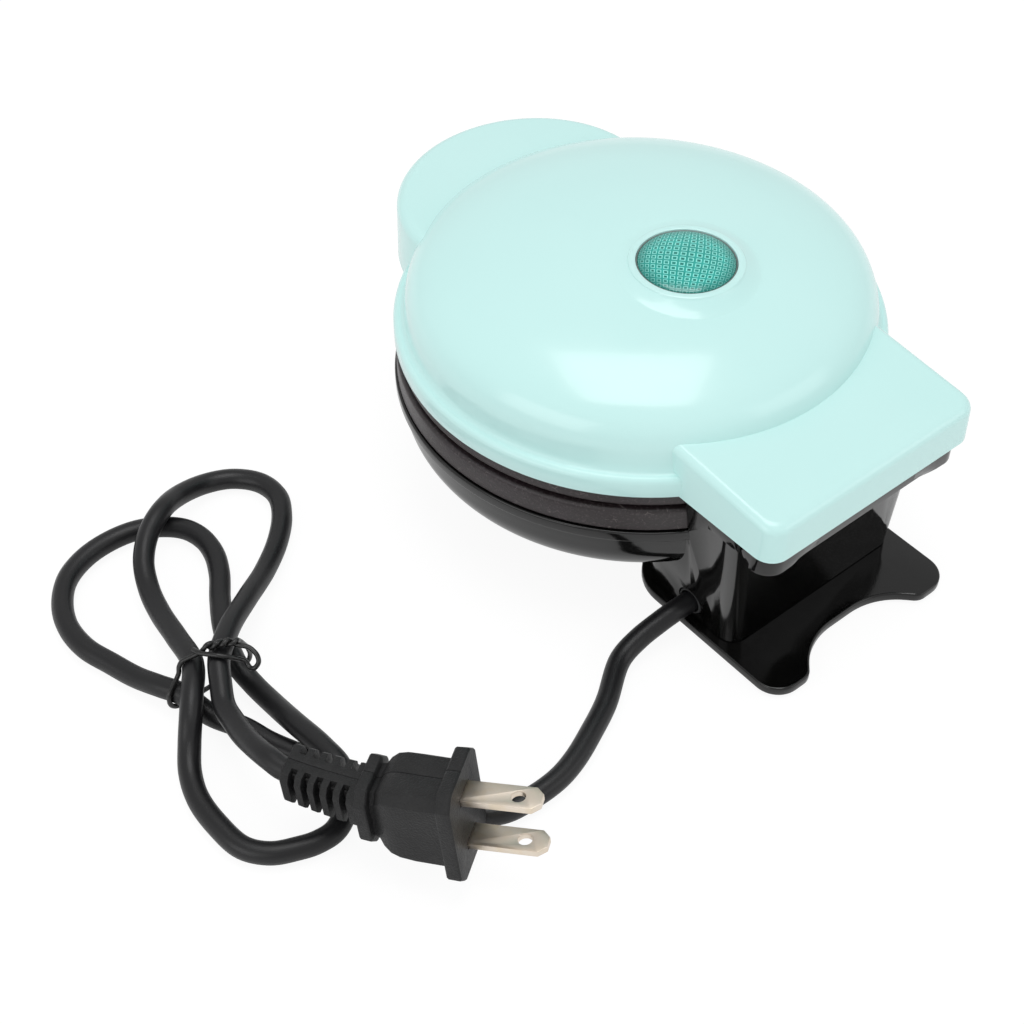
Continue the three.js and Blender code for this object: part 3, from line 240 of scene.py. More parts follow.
def soften(piece, width=0.3, steps=2, angle=32):
    """Rounds the sharp edges a little, as a mould does, and shades the rest smooth."""
    tidy(piece, 2e-6)
    if width:
        modified(piece, "BEVEL", width=width * MM, segments=steps, limit_method="ANGLE",
                 angle_limit=math.radians(angle), harden_normals=False, use_clamp_overlap=True)
    shade(piece, angle)


def joined(pieces):
    """Joins pieces into the first of them."""
    for item in bpy.context.selected_objects:
        item.select_set(False)
    for item in pieces:
        item.select_set(True)
    bpy.context.view_layer.objects.active = pieces[0]
    bpy.ops.object.join()
    return pieces[0]


def finished(piece, body, material, slot, *replaced):
    """Gives a finished piece its material, its body and the nodes it stands for."""
    piece.data.materials.clear()
    piece.data.materials.append(material)
    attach(piece, body)
    if replaced:
        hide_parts(*replaced)
    print(f"{piece.name}: {len(piece.data.polygons)} faces" if piece.type == "MESH" else piece.name)


def box_piece(name, x0, x1, y0, y1, z0, z1):
    return skin(name, lifted([(x0, y0), (x1, y0), (x1, y1), (x0, y1)], z0, z1))


def rod(name, radius, x, y, z0, z1, sides=48):
    """An upright rod."""
    return skin(name, lifted(circle(radius, sides, x, y), z0, z1))


def cross_rod(name, radius, x0, x1, y, z, sides=48):
    """A rod that lies along the hinge's axis."""
    return skin(name, [[(x, a, b) for a, b in circle(radius, sides, y, z)] for x in (x0, x1)])


print("a rounded oblong has", len(round_box(4, -4, 4, 1, 1, 6)), "points")

# %% [markdown]
# ## The power cord's route
# The cord is made first, because a cord that lay too far out would have to move in the model too.
# It leaves the foot, runs over the worktop under the plug, lies in three loose loops held by a wire
# tie, and ends in the plug. The points are measured from where it leaves the bushing. They are the
# model's own up to the last bend, and the short run into the plug is set a little closer to the
# photograph.

# %% Cord route
CORD_EXIT = (31.0, 52.9)
EXIT_HEIGHT = 8.3
CORD_RADIUS = 2.7
CORD_POINTS = [
    (-13, 0.1, 8.3), (-7, 0, 8.3), (0.2, 0, 8.3), (3.6, -0.1, 8.1), (7.3, -0.6, 6.9), (13.6, -1, 5),
    (20.1, 0, 3.4), (31.1, 7.3, 2.8), (39, 11.3, 2.8), (47.1, 14.8, 2.8), (53.7, 16.5, 2.8),
    (61.4, 16.7, 2.8), (69.2, 15.5, 2.8), (75.8, 10.1, 2.8), (80.8, 1.9, 2.8), (85.4, -7.1, 2.8),
    (90, -16.5, 2.8), (94.6, -25.5, 2.8), (98.2, -33.3, 2.8), (100.5, -40.3, 3),
    (104.6, -47.7, 3.8), (106.9, -56.3, 5), (109.5, -61.9, 4.6), (112, -68.9, 3.2),
    (114.2, -76.3, 2.8), (116.6, -84.6, 2.8), (116.5, -93.1, 2.8), (113.7, -100.7, 2.8),
    (108.7, -106.8, 2.8), (101.4, -110.4, 2.8), (93.4, -111.3, 2.8), (86.3, -110, 2.8),
    (80.2, -106.3, 2.8), (76.8, -102.2, 2.8), (75.4, -96.9, 2.8), (76, -90.8, 2.8),
    (78.7, -84.2, 2.8), (83.5, -76.4, 3.4), (88.6, -66.5, 5), (92, -56.2, 4.9), (91.9, -49, 3.6),
    (91.8, -39.8, 4.6), (92.1, -30.8, 7.2), (91.7, -20.2, 8.8), (92, -13.2, 8.7), (95.4, -7, 4.6),
    (100.2, -4.2, 3), (105.2, -4.2, 2.8), (109.5, -5.6, 2.8), (114.9, -8.4, 2.8),
    (118.7, -13.4, 2.8), (119.8, -21.6, 2.8), (119.3, -30.5, 2.8), (116.9, -37.5, 3.4),
    (113.6, -42.4, 5.6), (110.3, -46.3, 8.9), (107, -50.5, 10.8), (102, -58, 10.6),
    (99.7, -69.3, 8), (97.8, -80.4, 5.4), (95.5, -89.6, 4.6), (92.4, -96.7, 6.2), (87.4, -102.3, 8),
    (81, -106.4, 8.9), (73.2, -111, 6), (64.3, -112.6, 3.4), (57.6, -110.1, 2.8), (53, -104.4, 2.8),
    (52.2, -97.6, 2.8), (55.3, -90.9, 2.8), (61.1, -84.3, 2.8), (69.8, -77, 4), (80.5, -68.6, 8.2),
    (89.9, -61, 11.7), (97.6, -53.1, 13.4), (100.8, -47.7, 12.3), (103.3, -42.6, 11.3),
    (104.3, -37.4, 12), (105.3, -31.2, 13.7), (105.7, -25.3, 15.7), (105.5, -20, 17),
    (104.8, -16.3, 17), (102.9, -12.9, 16.8),
]


def from_exit(points):
    return [(CORD_EXIT[0] + x, CORD_EXIT[1] + y, z) for x, y, z in points]


def wire(name, points, radius, round_steps=5):
    """A curve of one open spline with a round section, through points in millimetres."""
    curve = bpy.data.curves.new(name, "CURVE")
    curve.dimensions = "3D"
    curve.bevel_depth = 1.0
    curve.bevel_resolution = round_steps
    curve.use_fill_caps = True
    spline = curve.splines.new("POLY")
    spline.points.add(len(points) - 1)
    for target, point in zip(spline.points, points):
        target.co = (*place(point), 1)
        target.radius = radius * MM
    return link(name, curve)


cord_line = smooth_line(from_exit(CORD_POINTS), 8)
cord_length = sum(np.linalg.norm(b - a) for a, b in zip(cord_line, cord_line[1:]))
cord = wire("cord", cord_line, CORD_RADIUS)
print("cord length in mm:", round(cord_length, 1))

# %% [markdown]
# ## Node helpers
# Materials, the world and the peg grid are all trees of nodes. One helper makes a node and fills its
# inputs with plain values or with another node's output. The short ones stand for the usual nodes.

# %% Node helpers
FLOAT = "NodeSocketFloat"
COLOR = "NodeSocketColor"


def feed(tree, socket, item):
    """Gives an input a plain value, or joins it to another node's output."""
    if isinstance(item, bpy.types.NodeSocket):
        tree.links.new(item, socket)
    else:
        socket.default_value = item


def add_node(tree, kind, *items, **values):
    """A node. Items fill its inputs from the first on, values fill named inputs or set properties."""
    node = tree.nodes.new(kind)
    for key, value in values.items():
        label = key.replace("_", " ")
        if label in node.inputs.keys():
            feed(tree, node.inputs[label], value)
        else:
            setattr(node, key, value)
    for socket, item in zip(node.inputs, items):
        feed(tree, socket, item)
    return node


def math_node(tree, operation, first, second=0.0):
    return add_node(tree, "ShaderNodeMath", first, second, operation=operation).outputs[0]


def times(tree, first, second):
    return math_node(tree, "MULTIPLY", first, second)


def noise(tree, vector, scale, detail=2.0, rough=0.5):
    values = {"Vector": vector, "Scale": scale, "Detail": detail, "Roughness": rough}
    return add_node(tree, "ShaderNodeTexNoise", **values).outputs["Fac"]


def ranged(tree, value, low, high, to_low=0.0, to_high=1.0):
    """A value moved from one range to another, and held inside it."""
    return add_node(tree, "ShaderNodeMapRange", value, low, high, to_low, to_high).outputs["Result"]


def mixed(tree, factor, first, second):
    """A mix of two colours."""
    node = add_node(tree, "ShaderNodeMix", data_type="RGBA")
    for index, item in ((0, factor), (6, first), (7, second)):
        feed(tree, node.inputs[index], item)
    return node.outputs[2]


def bump(tree, height, strength, distance):
    node = add_node(tree, "ShaderNodeBump", Height=height, Strength=strength, Distance=distance)
    return node.outputs["Normal"]


def group_node(tree, group, **values):
    """A group placed in a tree, as its outputs."""
    return add_node(tree, "ShaderNodeGroup", node_tree=group, **values).outputs


def object_coords(tree):
    return add_node(tree, "ShaderNodeTexCoord").outputs["Object"]


def new_material(name):
    material = bpy.data.materials.new(name)
    material.use_nodes = True
    material.node_tree.nodes.clear()
    return material, material.node_tree


def principled(tree, **values):
    """The surface shader, joined to the material's output."""
    shader = add_node(tree, "ShaderNodeBsdfPrincipled", **values)
    add_node(tree, "ShaderNodeOutputMaterial", shader.outputs[0])


print("node helpers are ready")

# %% [markdown]
# ## Floor and light
# The photograph is a plain product shot: white all round, one soft box overhead whose reflection lies
# on the dome, and fill from every side. The floor is white to the camera and to reflections, and still
# takes a faint shadow.

# %% Floor and light
AMBIENT = 0.62
FLOOR_SEEN = 0.86
FLOOR_MIRRORED = 0.36

scene = bpy.context.scene
scene.view_settings.view_transform = "Standard"
world = bpy.data.worlds.new("studio")
scene.world = world
world.use_nodes = True
tree = world.node_tree
tree.nodes.clear()
whites = [add_node(tree, "ShaderNodeBackground", Color=(1, 1, 1, 1), Strength=power).outputs[0]
          for power in (AMBIENT, 1.0)]
rays = add_node(tree, "ShaderNodeLightPath").outputs
pick = add_node(tree, "ShaderNodeMixShader", rays["Is Camera Ray"], *whites)
add_node(tree, "ShaderNodeOutputWorld", pick.outputs[0])

floor_mesh = bpy.data.meshes.new("floor")
floor_corners = lifted([(-4, -4), (4, -4), (4, 4), (-4, 4)], -0.0002)[0]
floor_mesh.from_pydata(floor_corners, [], [(0, 1, 2, 3)])
floor = link("floor", floor_mesh)
floor_material, tree = new_material("floor_white")
paint = add_node(tree, "ShaderNodeBsdfDiffuse", Color=(0.92, 0.92, 0.92, 1))
glow = add_node(tree, "ShaderNodeEmission", Color=(1, 1, 1, 1), Strength=1.06)
rays = add_node(tree, "ShaderNodeLightPath").outputs
share = math_node(tree, "MAXIMUM", times(tree, rays["Is Camera Ray"], FLOOR_SEEN),
                  times(tree, rays["Is Glossy Ray"], FLOOR_MIRRORED))
both = add_node(tree, "ShaderNodeMixShader", share, paint.outputs[0], glow.outputs[0])
add_node(tree, "ShaderNodeOutputMaterial", both.outputs[0])
floor.data.materials.append(floor_material)


def area_light(name, at, toward, size, power, side=(1, 0, 0)):
    """A rectangle of light whose first size runs along side."""
    lamp = bpy.data.lights.new(name, "AREA")
    lamp.shape = "RECTANGLE"
    lamp.size, lamp.size_y = size
    lamp.energy = power
    piece = link(name, lamp)
    piece.location = at
    away = (Vector(at) - Vector(toward)).normalized()
    along = (Vector(side) - away * Vector(side).dot(away)).normalized()
    piece.rotation_mode = "QUATERNION"
    piece.rotation_quaternion = Matrix((along, away.cross(along), away)).transposed().to_quaternion()


area_light("soft_box", (0.0, -0.01, 0.95), (0.02, 0.02, 0.07), (0.51, 0.58), 2.6, right)
area_light("left_fill", (0.9, 0.1, 0.45), (0, 0, 0.04), (0.7, 0.5), 1.6, (0, 1, 0))
area_light("right_fill", (-0.5, 0.85, 0.5), (0, 0, 0.04), (0.7, 0.5), 1.0)

# %% [markdown]
# ## Shared effects
# Moulded plastic is never one flat tone: it has a fine grain, slow waves where it cooled, and faint
# marks from hands. Each effect is a node group with its own inputs, placed in several materials.

# %% Effect groups


def new_group(name, inputs, outputs):
    """A shader group. Inputs come with their first values, and an output called Color is a colour."""
    tree = bpy.data.node_groups.new(name, "ShaderNodeTree")
    for label, value in inputs.items():
        kind = COLOR if isinstance(value, tuple) else FLOAT
        tree.interface.new_socket(label, in_out="INPUT", socket_type=kind).default_value = value
    for label in outputs:
        kind = COLOR if label == "Color" else FLOAT
        tree.interface.new_socket(label, in_out="OUTPUT", socket_type=kind)
    return tree, tree.nodes.new("NodeGroupInput").outputs, tree.nodes.new("NodeGroupOutput").inputs


moulded, given, out = new_group("moulded_surface", {
    "Grain Scale": 2500.0, "Grain Height": 0.2, "Wave Height": 1.0,
    "Roughness Low": 0.1, "Roughness High": 0.2,
}, ("Height", "Roughness", "Tone"))
coords = object_coords(moulded)
grain = noise(moulded, coords, given["Grain Scale"], 3.0)
wave = noise(moulded, coords, 28.0, 1.0)
smudge = noise(moulded, coords, 75.0, 4.0, 0.6)
height = math_node(moulded, "ADD", times(moulded, grain, given["Grain Height"]),
                   times(moulded, wave, given["Wave Height"]))
feed(moulded, out["Height"], height)
rough = ranged(moulded, smudge, 0.35, 0.7, given["Roughness Low"], given["Roughness High"])
feed(moulded, out["Roughness"], rough)
feed(moulded, out["Tone"], ranged(moulded, wave, 0.3, 0.7))

# Lighter pointy edges: on the nickel blades this is wear down to the brass, on the black gloss it is a
# painted highlight where the edges catch the light.
worn_and_lit_edges, given, out = new_group("edge_wear_and_highlight", {
    "Color": (0.5, 0.5, 0.5, 1), "Worn Color": (0.7, 0.7, 0.7, 1), "Amount": 0.3,
}, ("Color",))
pointy = add_node(worn_and_lit_edges, "ShaderNodeNewGeometry").outputs["Pointiness"]
edge = ranged(worn_and_lit_edges, pointy, 0.52, 0.6)
patchy = ranged(worn_and_lit_edges, noise(worn_and_lit_edges, object_coords(worn_and_lit_edges), 420.0, 3.0), 0.42, 0.62)
worn_and_lit_mask = times(worn_and_lit_edges, times(worn_and_lit_edges, edge, patchy), given["Amount"])
feed(worn_and_lit_edges, out["Color"], mixed(worn_and_lit_edges, worn_and_lit_mask, given["Color"], given["Worn Color"]))

dust, given, out = new_group("settled_dust", {
    "Color": (0.5, 0.5, 0.5, 1), "Dust Color": (0.6, 0.6, 0.58, 1), "Amount": 0.1,
}, ("Color",))
normal = add_node(dust, "ShaderNodeNewGeometry").outputs["Normal"]
facing = ranged(dust, add_node(dust, "ShaderNodeSeparateXYZ", normal).outputs["Z"], 0.2, 1.0)
specks = ranged(dust, noise(dust, object_coords(dust), 1400.0, 2.0), 0.56, 0.72)
amount = times(dust, times(dust, facing, specks), given["Amount"])
feed(dust, out["Color"], mixed(dust, amount, given["Color"], given["Dust Color"]))

brushed, given, out = new_group("drawn_metal", {"Stretch": 40.0, "Low": 0.2, "High": 0.4},
                                ("Height", "Roughness", "Tone"))
coords = object_coords(brushed)
scale = add_node(brushed, "ShaderNodeCombineXYZ", 1.0, 1.0, given["Stretch"])
stretch = add_node(brushed, "ShaderNodeMapping", Vector=coords, Scale=scale.outputs[0])
streak = noise(brushed, stretch.outputs[0], 160.0, 4.0, 0.6)
feed(brushed, out["Height"], streak)
feed(brushed, out["Roughness"], ranged(brushed, streak, 0.3, 0.7, given["Low"], given["High"]))
feed(brushed, out["Tone"], noise(brushed, coords, 90.0, 3.0))


def surfaced(name, group, settings, tones, strength, depth, worn=None, dusty=0.0, **values):
    """A material with its tone, roughness and bump from a group, lighter edges where asked (wear on the
    nickel, painted highlight on the black gloss) and dust where asked.
    """
    material, tree = new_material(name)
    surface = group_node(tree, group, **settings)
    light, dark = tones
    color = mixed(tree, surface["Tone"], (*dark, 1), (*light, 1))
    if worn:
        wear_and_highlight_color, amount = worn
        color = group_node(tree, worn_and_lit_edges, Color=color, Worn_Color=(*wear_and_highlight_color, 1), Amount=amount)["Color"]
    if dusty:
        color = group_node(tree, dust, Color=color, Amount=dusty)["Color"]
    principled(tree, Base_Color=color, Roughness=surface["Roughness"],
               Normal=bump(tree, surface["Height"], strength, depth), **values)
    return material


print("shared effects:", [group.name for group in bpy.data.node_groups])

# %% [markdown]
# ## Plastics, rubber and sleeves
# The lid, the base, the plug and the cord are all moulded, so one recipe makes them: a tone that drifts
# between two close colours, grain in a bump, and a roughness that varies. The lid is glossy and almost
# without grain, and the plug is dull with a coarse one.

# %% Moulded finishes


def moulded_material(name, light, dark, rough, grain, coat=0.0, shine=0.5, **effects):
    """Grain is its height, its scale and the depth of its bump in metres."""
    settings = {"Grain_Height": grain[0], "Grain_Scale": grain[1],
                "Roughness_Low": rough[0], "Roughness_High": rough[1]}
    return surfaced(name, moulded, settings, (light, dark), 0.35, grain[2], Coat_Weight=coat,
                    Coat_Roughness=0.06, Specular_IOR_Level=shine, **effects)


aqua = moulded_material("aqua_gloss", (0.605, 0.905, 0.88), (0.59, 0.895, 0.87), (0.16, 0.24),
                        (0.12, 2600.0, 0.0002), coat=0.25)
# The black gloss's lighter edges are a painted highlight, standing for light caught along its edges.
black_gloss = moulded_material("black_gloss", (0.0035, 0.0035, 0.0032), (0.0025, 0.0025, 0.0025),
                               (0.07, 0.13), (0.1, 2600.0, 0.0002), coat=0.1,
                               worn=((0.05, 0.05, 0.05), 0.15))
black_satin = moulded_material("black_satin", (0.012, 0.012, 0.013), (0.009, 0.009, 0.01), (0.28, 0.42),
                               (0.5, 3200.0, 0.0002), dusty=0.03)
ring_grey = moulded_material("ring_grey", (0.2, 0.235, 0.225), (0.16, 0.19, 0.18), (0.25, 0.4),
                             (0.4, 3000.0, 0.0002))
black_rubber = moulded_material("black_rubber", (0.016, 0.016, 0.017), (0.011, 0.011, 0.012), (0.6, 0.8),
                                (0.8, 2200.0, 0.0003), dusty=0.06)
cord_jacket = moulded_material("cord_jacket", (0.0095, 0.0095, 0.0105), (0.007, 0.007, 0.008),
                               (0.32, 0.44), (0.5, 3400.0, 0.0002), shine=0.42)
plug_vinyl = moulded_material("plug_vinyl", (0.0125, 0.0125, 0.013), (0.009, 0.009, 0.0095), (0.38, 0.56),
                              (1.0, 2200.0, 0.0006), worn=((0.03, 0.03, 0.03), 0.15), shine=0.32)
tie_vinyl = moulded_material("tie_vinyl", (0.012, 0.012, 0.012), (0.009, 0.009, 0.009), (0.2, 0.32),
                             (0.3, 3000.0, 0.0002))
white_plastic = moulded_material("white_plastic", (0.78, 0.77, 0.74), (0.74, 0.73, 0.7), (0.4, 0.55),
                                 (0.5, 2600.0, 0.0002))
sleeve = moulded_material("lead_sleeve", (0.72, 0.70, 0.62), (0.6, 0.58, 0.5), (0.7, 0.9),
                          (1.0, 5200.0, 0.0006))
print("finishes so far:", len(bpy.data.materials), "and the last is", sleeve.name)

# %% [markdown]
# ## Metals and the non-stick coat
# The blades are nickel over brass, drawn and stamped, so fine streaks run along them. The heaters are
# browned by heat. The plates are cast aluminium under a brownish non-stick coat, which has a sprayed
# grain, pale scratches and a slight purple sheen.

# %% Metal finishes


def metal_material(name, light, dark, rough, stretch, worn=None):
    settings = {"Stretch": stretch, "Low": rough[0], "High": rough[1]}
    return surfaced(name, brushed, settings, (light, dark), 0.15, 0.0001, worn, Metallic=1.0)


nickel = metal_material("nickel_blade", (0.86, 0.77, 0.66), (0.77, 0.68, 0.58), (0.34, 0.5), 6.0,
                        ((0.75, 0.6, 0.35), 0.5))
screw_steel = metal_material("screw_steel", (0.55, 0.55, 0.56), (0.4, 0.4, 0.42), (0.25, 0.4), 4.0)
element_steel = metal_material("element_steel", (0.32, 0.27, 0.23), (0.2, 0.17, 0.15), (0.4, 0.6), 1.0)
reflector_steel = metal_material("reflector_steel", (0.68, 0.69, 0.7), (0.55, 0.56, 0.57), (0.25, 0.45),
                                 30.0)

non_stick, tree = new_material("non_stick")
coords = object_coords(tree)
speckle = noise(tree, coords, 1500.0, 4.0, 0.7)
cloud = noise(tree, coords, 60.0, 2.0)
cracks = add_node(tree, "ShaderNodeTexVoronoi", feature="DISTANCE_TO_EDGE", Vector=coords, Scale=260.0)
thin = ranged(tree, cracks.outputs["Distance"], 0.0, 0.02, 1.0, 0.0)
broken = ranged(tree, noise(tree, coords, 500.0, 2.0), 0.55, 0.65, 0.0, 0.5)
warm, violet = (0.0155, 0.0108, 0.0105, 1), (0.0205, 0.013, 0.016, 1)
tone = mixed(tree, ranged(tree, cloud, 0.35, 0.65), warm, violet)
tone = mixed(tree, ranged(tree, speckle, 0.53, 0.7, 0.0, 0.85), tone, (0.08, 0.062, 0.066, 1))
tone = mixed(tree, times(tree, thin, broken), tone, (0.24, 0.21, 0.2, 1))
principled(tree, Base_Color=tone, Roughness=ranged(tree, speckle, 0.3, 0.7, 0.34, 0.5),
           Normal=bump(tree, speckle, 0.4, 0.0003), Coat_Weight=0.15, Coat_Roughness=0.3)
print("finishes so far:", len(bpy.data.materials), "and the last is", non_stick.name)

# %% [markdown]
# ## The green lens
# The window is a clear green moulding with rows of little square frames cast into it, which scatter the
# light. Seen through the dome they crowd together towards its edge, so the grid is swollen outwards. The
# frames are real relief here, and the material lightens their rims, darkens the middles and paints shade
# towards the lens's edge.

# %% Lens and lamp finishes
GRID_TURN = math.radians(130.5)
GRID_PITCH = 1.93
GRID_SWELL = 0.0075
WINDOW = (0.0, 14.5)

lens_green, tree = new_material("green_lens")
coords = object_coords(tree)
turn = add_node(tree, "ShaderNodeMapping", coords, vector_type="TEXTURE", Location=place((*WINDOW, 0)),
                Rotation=(0, 0, GRID_TURN), Scale=(GRID_PITCH * MM, GRID_PITCH * MM, 1))
cell = add_node(tree, "ShaderNodeSeparateXYZ", turn.outputs[0]).outputs
squares = [math_node(tree, "POWER", cell[axis], 2.0) for axis in "XY"]
far = math_node(tree, "ADD", *squares)
swell = math_node(tree, "ADD", times(tree, far, GRID_SWELL), 1.0)
sides = []
for axis in "XY":
    whole = math_node(tree, "FRACT", times(tree, cell[axis], swell))
    sides.append(math_node(tree, "ABSOLUTE", math_node(tree, "SUBTRACT", whole, 0.5)))
reach = times(tree, math_node(tree, "MAXIMUM", *sides), 2.0)
frame_line = math_node(tree, "ABSOLUTE", math_node(tree, "SUBTRACT", reach, 0.6))
frame_mask = ranged(tree, frame_line, 0.06, 0.16, 1.0, 0.0)
middle = ranged(tree, reach, 0.25, 0.42, 1.0, 0.0)
patch = noise(tree, coords, 420.0, 2.0)
darker = times(tree, middle, ranged(tree, patch, 0.4, 0.6, 0.2, 0.9))
green = mixed(tree, ranged(tree, patch, 0.35, 0.65), (0.0, 0.31, 0.26, 1), (0.008, 0.41, 0.35, 1))
green = mixed(tree, darker, green, (0.0, 0.12, 0.09, 1))
green = mixed(tree, times(tree, frame_mask, 0.9), green, (0.34, 0.97, 0.88, 1))
# Painted shade: the green darkens towards the lens's edge.
green = mixed(tree, ranged(tree, far, 20.0, 37.0, 0.0, 0.75), green, (0.0, 0.14, 0.115, 1))
principled(tree, Base_Color=green, Roughness=0.14, Coat_Weight=0.5, Coat_Roughness=0.05,
           Normal=bump(tree, noise(tree, coords, 900.0, 2.0), 0.1, 0.0001))

lamp_glass, tree = new_material("lamp_glass")
ripple = bump(tree, noise(tree, object_coords(tree), 300.0, 1.0), 0.2, 0.0002)
principled(tree, Base_Color=(0.95, 0.9, 0.82, 1), Roughness=0.05, Transmission_Weight=0.7, Normal=ripple)
print("one frame of the lens is", GRID_PITCH, "mm wide")

# %% [markdown]
# ## The lid
# One moulding makes the dome, the handle tab in front and the hinge tab behind. The dome is turned, the
# tabs are drawn up from their outlines with rounded top edges, and the three are joined, with a low lip
# round the window. The same shapes made a wall smaller are cut out, so the lid is a true shell when it
# opens.

# %% Lid shell
LID_EDGE = 45.7
LID_RISE = 28.2
LID_RADIUS = 61.0
WALL = 2.0
DOME_SHARES = [
    (1, 0), (1, 0.152), (0.995, 0.177), (0.984, 0.195), (0.97, 0.202), (0.961, 0.216),
    (0.956, 0.248), (0.952, 0.319), (0.946, 0.408), (0.934, 0.486), (0.916, 0.557), (0.889, 0.624),
    (0.839, 0.702), (0.754, 0.784), (0.631, 0.862), (0.492, 0.918), (0.328, 0.966), (0.164, 0.992),
    (0, 1),
]
WINDOW_HOLLOW = 0.9
WINDOW_HOLLOW_RADIUS = 20.5
WINDOW_HOLE = 12.0
LIP_TOP = 74.35
LIP_EDGE = 13.9
LIP_FOOT = 18.4
LIP_ROOT = 66.0


def fine_dome(inset=0.0):
    """The dome's outline from the rim to the top, smoothed, and moved inwards by inset."""
    points = [(r * LID_RADIUS, 0, LID_EDGE + z * LID_RISE) for r, z in DOME_SHARES]
    points.append((-points[-2][0], 0, points[-2][2]))
    line = [(p[0], p[2]) for p in smooth_line(points[1:], 5)]
    line = [p for p in line if p[0] >= 0]
    line[-1] = (0.0, line[-1][1])
    if not inset:
        edge = ((0.5, 0.0), (0.15, 0.15), (0.0, 0.5))
        return [(LID_RADIUS - inwards, LID_EDGE + up_by) for inwards, up_by in edge] + line
    moved = []
    for i, (r, z) in enumerate(line):
        before, after = line[max(i - 1, 0)], line[min(i + 1, len(line) - 1)]
        slope = Vector((after[0] - before[0], after[1] - before[1])).normalized()
        moved.append((r - inset * slope.y, z + inset * slope.x))
    top = LID_EDGE + 0.3 * LID_RISE
    moved = [(r, z) for r, z in moved if z > top]
    moved[-1] = (0.0, moved[-1][1])
    start = LID_EDGE + 0.15 * LID_RISE - inset / 2
    return [(LID_RADIUS - inset, LID_EDGE - 5), (LID_RADIUS - inset, start)] + moved


def hollow_at(x, y):
    """How far the dome sinks round the window."""
    away = math.hypot(x - WINDOW[0], y - WINDOW[1]) / WINDOW_HOLLOW_RADIUS
    return WINDOW_HOLLOW * (0.5 + 0.5 * math.cos(math.pi * away)) if away < 1 else 0.0


def dome_piece(name, inset=0.0, sides=200):
    """The dome turned from its outline, with the hollow round the window on its outside."""
    line = fine_dome(inset)
    rings = []
    for c, s in circle(1, sides):
        ring = []
        for r, z in [(0, line[0][1]), *line]:
            x, y = r * c, r * s
            if z > LID_EDGE + 0.5 * LID_RISE and not inset:
                z -= hollow_at(x, y)
            ring.append((x, y, z))
        rings.append(ring)
    return skin(name, rings + rings[:1], close_ends=False)


def raised(name, outline_at, bottom, top_at, fillet, draft=0.0, steps=8):
    """A block with a rounded top edge, drawn up from an outline, which outline_at gives at an inset."""
    rings = []
    for inset, share in ((0.0, 0.0), (draft, 1.0)):
        rings.append([(x, y, bottom + (top_at(x, y) - fillet - bottom) * share)
                      for x, y in outline_at(inset)])
    for k in range(1, steps + 1):
        angle = math.pi / 2 * k / steps
        inset = draft + fillet * (1 - math.cos(angle))
        drop = fillet * (1 - math.sin(angle))
        rings.append([(x, y, top_at(x, y) - drop) for x, y in outline_at(inset)])
    return skin(name, rings)


HANDLE_HALF = 35.0
HANDLE_CENTRE = -43.0
HANDLE_REACH = 75.6
HANDLE_TOP = LID_EDGE + 16.8
TAB_HALF = 33.65
TAB_FRONT = 40.0
TAB_END = 79.6
TAB_RISE_FRONT = 13.8
TAB_RISE_END = 10.2


def handle_outline(inset, steps=64):
    outline = []
    for k in range(steps + 1):
        angle = math.pi + math.pi * k / steps
        outline.append(((HANDLE_HALF - inset) * math.cos(angle),
                        HANDLE_CENTRE + (HANDLE_REACH + HANDLE_CENTRE - inset) * math.sin(angle)))
    return outline + [(HANDLE_HALF - inset, -22), (inset - HANDLE_HALF, -22)]


def tab_outline(inset):
    return round_box(TAB_HALF - inset, TAB_FRONT, TAB_END - inset, 0, max(5.0 - inset * 0.5, 1.0), 10)


def tab_top(inset=0.0):
    fall = (TAB_RISE_FRONT - TAB_RISE_END) / (TAB_END - TAB_FRONT)
    return lambda x, y: LID_EDGE + TAB_RISE_FRONT - inset - fall * (y - TAB_FRONT)


def window_lip(sides=160):
    """The raised ring round the window, whose outside runs down into the dome all round."""
    line = fine_dome()
    away, heights = [-r for r, z in line], [z for r, z in line]
    rings = []
    for c, s in circle(1, sides):
        ring = [(11.0, LIP_ROOT + 2), (11.0, LIP_ROOT), (LIP_FOOT, LIP_ROOT)]
        for step in range(13):
            r = LIP_FOOT + (LIP_EDGE - LIP_FOOT) * step / 12
            x, y = WINDOW[0] + r * c, WINDOW[1] + r * s
            ground = float(np.interp(-math.hypot(x, y), away, heights)) - hollow_at(x, y)
            share = ((LIP_FOOT - r) / (LIP_FOOT - LIP_EDGE)) ** 1.7
            ring.append((r, ground - 0.12 + (LIP_TOP - 0.28 - ground) * share))
        ring += [(LIP_EDGE - 0.12, LIP_TOP - 0.15), (LIP_EDGE - 0.4, LIP_TOP),
                 (WINDOW_HOLE + 0.35, LIP_TOP), (WINDOW_HOLE + 0.08, LIP_TOP - 0.12),
                 (WINDOW_HOLE, LIP_TOP - 0.4), (WINDOW_HOLE, LIP_ROOT + 2)]
        rings.append([(WINDOW[0] + r * c, WINDOW[1] + r * s, z) for r, z in ring])
    return skin("lip", rings + rings[:1], close_ends=False)


def handle_room(inset):
    return handle_outline(inset + WALL, 40)


def tab_room(inset):
    return tab_outline(inset + WALL)


